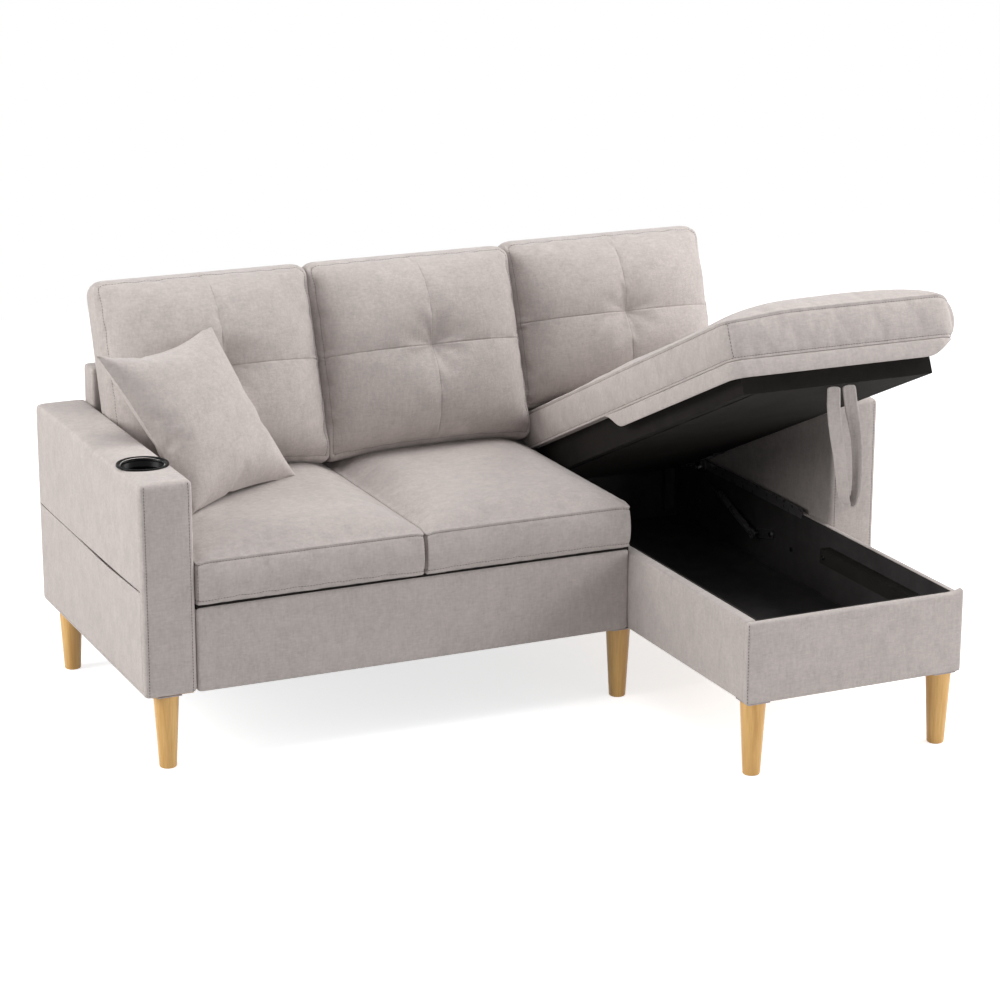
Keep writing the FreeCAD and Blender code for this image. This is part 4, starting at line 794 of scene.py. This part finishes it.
def band_path():
    """Points and outward directions from the rear left, round the front, to the right end."""
    left, right = LID_LEFT_CORNER, LID_RIGHT_CORNER
    places, outs = [], []
    for y in np.arange(BAND_REAR, BAND_FRONT + left, -BAND_CELL):
        places.append((BAND_LEFT, y))
        outs.append((-1, 0))
    corners = [(BAND_LEFT + left, BAND_FRONT + left, left, math.pi, 1.5 * math.pi),
               (BAND_RIGHT - right, BAND_FRONT + right, right, 1.5 * math.pi, 2 * math.pi)]
    for number, (cx, cy, bend, start, end) in enumerate(corners):
        for angle in np.linspace(start, end, 9):
            outs.append((math.cos(angle), math.sin(angle)))
            places.append((cx + bend * math.cos(angle), cy + bend * math.sin(angle)))
        if number == 0:
            for x in np.arange(BAND_LEFT + left + BAND_CELL, BAND_RIGHT - right, BAND_CELL):
                places.append((x, BAND_FRONT))
                outs.append((0, -1))
    return np.array(places), np.array(outs)


def lid_band():
    """Fabric band below the lid cushion, both its ends swept up, its foot a flap over the box."""
    places, outs = band_path()
    rise_left = ease((places[:, 1] - LEFT_SWEEP) / LEFT_SWEEP_LENGTH)
    rise_right = ease((places[:, 0] - RIGHT_SWEEP) / RIGHT_SWEEP_LENGTH) * RIGHT_SWEEP_SHARE
    low = BAND_FOOT + (LID_BOTTOM - BAND_FOOT - 0.001) * np.maximum(rise_left, rise_right)
    points = []
    for (x, y), (out_x, out_y), bottom in zip(places, outs, low):
        for out, up in BAND_PROFILE:
            points.append((x + out_x * out, y + out_y * out, bottom + (LID_BOTTOM - bottom) * up))
    points = turned_about(np.array(points), PIVOT, LID_ANGLE)
    piece = new_piece("lid_band", points, swept_faces(len(places), len(BAND_PROFILE)), linen)
    soften(piece)
    declare(piece, "lid", ["lid_skirt"])


lid_band()

# Upholstered hard parts

PANEL_CELL, ARM_CELL = 0.02, 0.016
SEAM_DEPTH, CREASE = 0.0012, 0.0009


def panel(name, node, radius, puff, seams=(), cell=PANEL_CELL, marks=((), (), ()), shape=None,
          wrap=0.0):
    """Fabric stretched over a node: a box with rounded edges whose faces stand a little full.

    A seam is an axis, its places on the other two axes in rows (negative from the far side),
    whether it shows stitches, and its depth. A wrap carries the fabric on past the right end.
    """
    low, high = [np.array(corner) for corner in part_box(node)]
    high[0] += wrap
    size = high - low
    near = (0.0013, radius * 0.35, radius * 0.8, radius * 1.6)
    lattice = Lattice(*[rows(size[n], cell, near, [mark - low[n] for mark in marks[n]])
                        for n in range(3)])
    shares = lattice.shares
    places = shares * size
    inner = np.clip(places, radius, size - radius)
    gap = places - inner
    widest = np.abs(gap).max(1)
    length = np.maximum(np.linalg.norm(gap, axis=1), TINY)
    rounded = inner + gap * (widest / length)[:, None]
    for n in range(3):
        a, b = [k for k in range(3) if k != n]
        full = swell(shares[:, a], 3.0) * swell(shares[:, b], 3.0)
        rounded[:, n] += ends_of(shares[:, n]) * full * puff[n]
    points = low + rounded
    if shape is not None:
        points = shape(points, shares)
    lines, grooves = [], []
    for axis, fixed, sewn, depth in seams:
        others = [k for k in range(3) if k != axis]
        numbers = lattice.row(axis, [n if n >= 0 else lattice.counts[k] + 1 + n
                                     for n, k in zip(fixed, others)])
        if sewn:
            lines.append(numbers)
        grooves.append((numbers, -depth))
    return finished(name, lattice, points, "frame", [node], lines, grooves)


CUP = (-0.831, 0.0505)
CUP_HOLE, CUP_HOLE_CELLS = 0.047, 0.045
ARM_RADIUS, ARM_PUFF = 0.012, (0.0035, 0.003, 0.004)
POCKET = {"front": ARM_FRONT + 0.014, "rear": 0.6405, "low": 0.179, "high": 0.4045}
POCKET_RECESS, POCKET_EDGE = 0.0098, 0.0005


def left_arm_shape(points, shares):
    """Sink the outer face where the pocket is sewn on."""
    y, z = points[:, 1], points[:, 2]
    inside = shares[:, 0] < NEAR
    inside &= (y > POCKET["front"] + POCKET_EDGE) & (y < POCKET["rear"] - POCKET_EDGE)
    inside &= (z > POCKET["low"] + POCKET_EDGE) & (z < POCKET["high"] - POCKET_EDGE)
    points[inside, 0] = ARM_OUTSIDE + POCKET_RECESS
    return points


ARM_SEAMS = [(2, (3, 0), True, SEAM_DEPTH), (2, (-4, 0), True, SEAM_DEPTH)]
left_arm = panel("left_arm_fabric", "left_arm_cover", ARM_RADIUS, ARM_PUFF,
                 [*ARM_SEAMS, (1, (3, -1), False, CREASE)], ARM_CELL,
                 ((), (POCKET["front"], POCKET["rear"]), (POCKET["low"], POCKET["high"])),
                 left_arm_shape)
panel("right_arm_fabric", "right_arm_cover", ARM_RADIUS, ARM_PUFF,
      [*ARM_SEAMS, (1, (-4, -1), False, CREASE)], ARM_CELL)


def cut_cup_hole(piece):
    """Open the arm's top where the cup holder drops in; its flange hides the edge."""
    work = bmesh.new()
    work.from_mesh(piece.data)
    centre = Vector(CUP)
    gone = [f for f in work.faces if f.normal.z > 0.5 and f.calc_center_median().z > ARM_TOP - 0.017
            and (f.calc_center_median().xy - centre).length < CUP_HOLE_CELLS]
    bmesh.ops.delete(work, geom=gone, context="FACES")
    for vert in work.verts:
        if vert.is_boundary:
            out = (vert.co.xy - centre).normalized() * CUP_HOLE
            vert.co.x, vert.co.y = centre.x + out.x, centre.y + out.y
    work.to_mesh(piece.data)
    work.free()


cut_cup_hole(left_arm)

POCKET_OUTSIDE, POCKET_INSIDE, POCKET_TOP, POCKET_GAP = -0.8902, -0.8868, 0.4014, 0.001
POCKET_CELL, POCKET_SAG, POCKET_FULL, POCKET_SLACK, POCKET_HEM = 0.012, 0.0025, 0.0025, 0.0015, 0.0006


def side_pocket():
    """Flat pocket on the arm's outer face, its mouth a little slack."""
    low = np.array((POCKET_OUTSIDE, POCKET["front"] + POCKET_GAP, POCKET["low"] + POCKET_GAP))
    high = np.array((POCKET_INSIDE, POCKET["rear"] - POCKET_GAP, POCKET_TOP))
    size = high - low
    lattice = Lattice(np.array([0.0, 0.5, 1.0]), rows(size[1], POCKET_CELL, (0.002, 0.005)),
                      rows(size[2], POCKET_CELL, (0.002, 0.005, 0.012)))
    v, w = lattice.shares.T[1:]
    sag = bell(v - 0.3, 0.2) * np.clip((w - 0.3) / 0.7, 0, 1) ** 2
    full = swell(v, 3) * swell(w * 0.5, 2.5)
    points = low + lattice.shares * size
    points[:, 2] -= POCKET_SAG * sag
    points[:, 0] -= POCKET_FULL * full + POCKET_SLACK * sag
    hem = lattice.row(1, (0, lattice.counts[2] - 3))
    finished("pocket_panel", lattice, points, "frame", ["side_pocket"], [], [(hem, -POCKET_HEM)])


side_pocket()

panel("base_front_fabric", "base_front_panel", 0.008, (0.0, 0.0025, 0.0015))

SKIRT_TOP, SKIRT_FRONT = 0.3597, 0.6345


def back_shape(points, shares):
    """Draw the lower part of the back in to its skirt."""
    low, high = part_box("back_cover")
    lower = (points[:, 2] < SKIRT_TOP) & (shares[:, 1] < 1 - NEAR)
    thin = SKIRT_FRONT + (points[:, 1] - low.y) * (high.y - SKIRT_FRONT) / (high.y - low.y)
    points[:, 1] = np.where(lower, thin, points[:, 1])
    return points


panel("back_fabric", "back_cover", 0.009, (0.002, 0.004, 0.002),
      [(2, (3, -1), True, SEAM_DEPTH), (2, (-4, -1), True, SEAM_DEPTH), (0, (-1, -4), True, SEAM_DEPTH)],
      marks=((), (), (SKIRT_TOP,)), shape=back_shape)

FRONT_WRAP, FRONT_SEAM_DEPTH, TAB_RISE = 0.005, 0.0016, 0.007


def tab_shape(points, shares):
    """Let the folded fabric stand up a little at the right end of the front panel's top."""
    near = bell(1 - shares[:, 0], 1 / 45) * np.clip((shares[:, 2] - 0.9) / 0.1, 0, 1)
    points[:, 2] += TAB_RISE * near
    return points


panel("chaise_front_panel_fabric", "chaise_front_panel", 0.006, (0.001, 0.0025, 0.001),
      [(2, (2, 0), True, FRONT_SEAM_DEPTH)], shape=tab_shape, wrap=FRONT_WRAP)
for side, radius, puff in (("left", 0.006, (0.0015, 0.0, 0.001)), ("right", 0.005, (0.0015, 0.0, 0.001)),
                           ("rear", 0.004, (0.0, 0.0, 0.0))):
    node = "chaise_" + side + "_wall"
    panel(node + "_fabric", node, radius, puff)

# Legs and cup holder, turned from profiles


def turned_piece(name, profile, centre, material, body, nodes, sides=56):
    """A solid of revolution about an upright axis, from a closed or axis-ended profile."""
    points, faces = [], []
    count = len(profile)
    for k in range(sides):
        angle = 2 * math.pi * k / sides
        for radius, level in profile:
            points.append((centre[0] + radius * math.cos(angle),
                           centre[1] + radius * math.sin(angle), level))
        n = (k + 1) % sides
        for m in range(count - 1):
            faces.append((k * count + m, n * count + m, n * count + m + 1, k * count + m + 1))
    piece = new_piece(name, points, faces, material)
    face_outward(piece, merge=NEAR)
    declare(piece, body, nodes)


def rounded_profile(corners, bends, steps=5):
    """Profile with some corners rounded; each bend is a radius, or zero for a sharp corner."""
    result = []
    for k, (corner, bend) in enumerate(zip(corners, bends)):
        corner = Vector(corner)
        if not bend:
            result.append(tuple(corner))
            continue
        before = (Vector(corners[k - 1]) - corner).normalized() * bend
        after = (Vector(corners[k + 1]) - corner).normalized() * bend
        for step in range(steps + 1):
            t = step / steps
            result.append(tuple(corner + before * (1 - t) ** 2 + after * t ** 2))
    return result


LEG_FOOT, LEG_HEAD, LEG_FOOT_BEND, LEG_HEAD_BEND = 0.0188, 0.0278, 0.004, 0.0015
for node in [n for n in NODES if n.startswith("leg_") and n != "leg_plates"]:
    low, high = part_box(node)
    centre = (low + high) / 2
    profile = rounded_profile([(0, 0.0), (LEG_FOOT, 0.0), (LEG_HEAD, high.z), (0, high.z)],
                              [0, LEG_FOOT_BEND, LEG_HEAD_BEND, 0])
    turned_piece(node + "_turned", profile, centre, leg_wood, "frame", [node])

CUP_RIM = 0.637
CUP_PROFILE = [(0, -0.072), (0.046, -0.072), (0.046, -0.004), (0.0568, 0.001), (0.0562, 0.0052),
               (0.0522, 0.006), (0.0468, 0.001), (0.0435, -0.066), (0, -0.069)]
CUP_BENDS = [0, 0.006, 0, 0.001, 0.002, 0.002, 0.004, 0.006, 0]
turned_piece("cup_holder_turned", rounded_profile([(r, CUP_RIM + z) for r, z in CUP_PROFILE], CUP_BENDS),
             CUP, cup_plastic, "frame", ["cup_holder"], 72)

# Pull strap

STRAP_WIDTH, STRAP_THICKNESS, STRAP_HANG_SHARE = 0.029, 0.0032, 0.985
STRAP_STATIONS, STRAP_SMOOTHING = 76, 6
STRAP_PATH = ((0.001, 0.0, 0.0), (0.001, 0.001, -0.05), (0.009, 0.002, -0.11), (0.019, 0.003, -0.16),
              (0.026, 0.004, -0.21), (0.030, 0.004, -0.242), (0.035, 0.003, -0.260),
              (0.0435, 0.0, -0.269), (0.052, -0.003, -0.260), (0.057, -0.004, -0.242),
              (0.0585, -0.004, -0.21), (0.058, -0.003, -0.16), (0.054, -0.002, -0.11),
              (0.043, -0.001, -0.055), (0.037, 0.0, 0.0))
STRAP_TURNS = (-0.3, -0.45, -0.7, -0.9, -1.05, -1.15, -1.25, -1.3, -1.35, -1.35, -1.3, -1.2, -1.05,
               -0.65, -0.3)
HALF_SECTION = ((-0.5, 0.3), (-0.38, 0.7), (-0.33, 0.2), (0, 0.5), (0.33, 0.2), (0.38, 0.7), (0.5, 0.3))
STRAP_SECTION = (*HALF_SECTION, *[(wide, -deep) for wide, deep in reversed(HALF_SECTION)])


def pull_strap():
    """A flat sewn strap that hangs as a narrow loop, its two runs side by side."""
    low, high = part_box("lid_pull_strap")
    base_y = (low.y + high.y) / 2
    path = np.array(STRAP_PATH) * (1, 1, STRAP_HANG_SHARE) + (low.x, 0, high.z)
    fine, spots = np.linspace(0, len(path) - 1, STRAP_STATIONS), np.arange(len(path))
    centre = np.stack([np.interp(fine, spots, path[:, c]) for c in range(3)], 1)
    for _ in range(STRAP_SMOOTHING):
        centre[1:-1] = (centre[:-2] + 2 * centre[1:-1] + centre[2:]) / 4
    twist = np.interp(fine, spots, STRAP_TURNS)
    points = []
    for spot, angle, ahead in zip(centre, twist, np.gradient(centre, axis=0)):
        ahead = ahead / np.linalg.norm(ahead)
        across = np.array((math.cos(angle), math.sin(angle), 0))
        across = across - ahead * (across @ ahead)
        across /= np.linalg.norm(across)
        depth = np.cross(across, ahead)
        forward = abs(math.sin(angle)) * STRAP_WIDTH / 2
        middle = np.array((spot[0], base_y + spot[1] - forward, spot[2]))
        for wide, deep in STRAP_SECTION:
            points.append(middle + across * wide * STRAP_WIDTH + depth * deep * STRAP_THICKNESS)
    piece = new_piece("strap_loop", points, swept_faces(len(centre), len(STRAP_SECTION)), linen)
    face_outward(piece)
    soften(piece)
    declare(piece, "strap", ["lid_pull_strap"])


pull_strap()

# Stitches of each body, in one piece each

for body, (verts, faces) in sorted(STITCHES.items()):
    declare(new_piece("stitches_" + body, verts, faces, thread), body)

# Materials of the frame's own nodes

FINISHES = (
    (dark_cover_and_gap_shade, ("lid_frame",)),
    (charcoal, ("lid_underlining", "lid_cleats")),
    (nonwoven, ("chaise_lining", "base_dust_cloth", "seat_deck")),
    (webbing_cloth, ("seat_webbing",)),
    (black_steel, ("rear_brackets", "right_strut_foot")),
    # Painted light: the pale steel on these parts makes up for the shade they sit in; the matching
    # right-hand parts use the dark steels.
    (rail_steel_painted_light, ("left_wall_rail", "left_strut_foot", "leg_plates")),
    (strut_paint, ("right_wall_rail", "left_lid_plate", "right_lid_plate", "left_strut_cylinder",
                   "right_strut_cylinder")),
    (bright_steel, ("left_strut_rod", "right_strut_rod", "hinge_pins", "wall_bolts", "lid_bolts")),
)
finish_of = {name: material for material, names in FINISHES for name in names}
for name, node in NODES.items():
    node.data.materials.clear()
    node.data.materials.append(finish_of.get(name, plain_wood))

# Floor, sky and lights


def seen_directly(tree):
    """One for rays of the camera and of mirror-like or clear surfaces, nothing for light's own."""
    path = tree.nodes.new("ShaderNodeLightPath")
    seen = path.outputs["Is Camera Ray"]
    for kind in ("Is Glossy Ray", "Is Transmission Ray"):
        seen = math_node(tree, "MAXIMUM", seen, path.outputs[kind])
    return seen


FLOOR_GREY, FLOOR_LIFT, FLOOR_REACH = 0.72, 0.74, 4.2
pale = Shader("pale_floor").set(Base_Color=(FLOOR_GREY, FLOOR_GREY, FLOOR_GREY, 1), Roughness=0.95,
                                Specular_IOR_Level=0.0)
lift = pale.nodes.new("ShaderNodeEmission")
strength = math_node(pale.tree, "MULTIPLY", seen_directly(pale.tree), FLOOR_LIFT)
pale.links.new(strength, lift.inputs["Strength"])
both = pale.nodes.new("ShaderNodeAddShader")
pale.links.new(pale.surface.outputs[0], both.inputs[0])
pale.links.new(lift.outputs[0], both.inputs[1])
pale.links.new(both.outputs[0], pale.nodes["Material Output"].inputs["Surface"])
corners = [(a * FLOOR_REACH, b * FLOOR_REACH, 0) for a, b in ((-1, -1), (1, -1), (1, 1), (-1, 1))]
floor = new_piece("floor", corners, [(0, 1, 2, 3)], pale.material, smooth=False)

SKY_COLOUR, SKY_STRENGTH = (0.93, 0.96, 1.0, 1), 0.28
world = bpy.data.worlds.new("studio")
scene.world = world
world.use_nodes = True
tree = world.node_tree
background = tree.nodes["Background"]
background.inputs["Color"].default_value = SKY_COLOUR
background.inputs["Strength"].default_value = SKY_STRENGTH
white = tree.nodes.new("ShaderNodeBackground")
white.inputs["Color"].default_value = (1, 1, 1, 1)
chosen = tree.nodes.new("ShaderNodeMixShader")
tree.links.new(seen_directly(tree), chosen.inputs[0])
tree.links.new(background.outputs[0], chosen.inputs[1])
tree.links.new(white.outputs[0], chosen.inputs[2])
tree.links.new(chosen.outputs[0], tree.nodes["World Output"].inputs["Surface"])


def area_light(name, place, target, size, power, colour=(1, 1, 1)):
    """A square soft light aimed at a point."""
    data = bpy.data.lights.new(name, "AREA")
    data.size = size
    data.energy = power
    data.color = colour
    light = bpy.data.objects.new(name, data)
    scene.collection.objects.link(light)
    light.location = place
    light.rotation_euler = (Vector(target) - Vector(place)).to_track_quat("-Z", "Y").to_euler()


WARM = (1, 0.99, 0.97)
area_light("left", (-4.8, 0.6, 2.4), (-0.5, 0, 0.4), 2.6, 180, WARM)
area_light("top", (0.2, -0.1, 4.8), (0, 0, 0.4), 3.4, 106)
area_light("right", (4.4, -0.6, 3.0), (0, 0, 0.4), 2.6, 162, WARM)
area_light("front", (2.4, -4.0, 1.1), (0.5, -0.5, 0.3), 1.8, 58)

scene.view_settings.view_transform = "Standard"
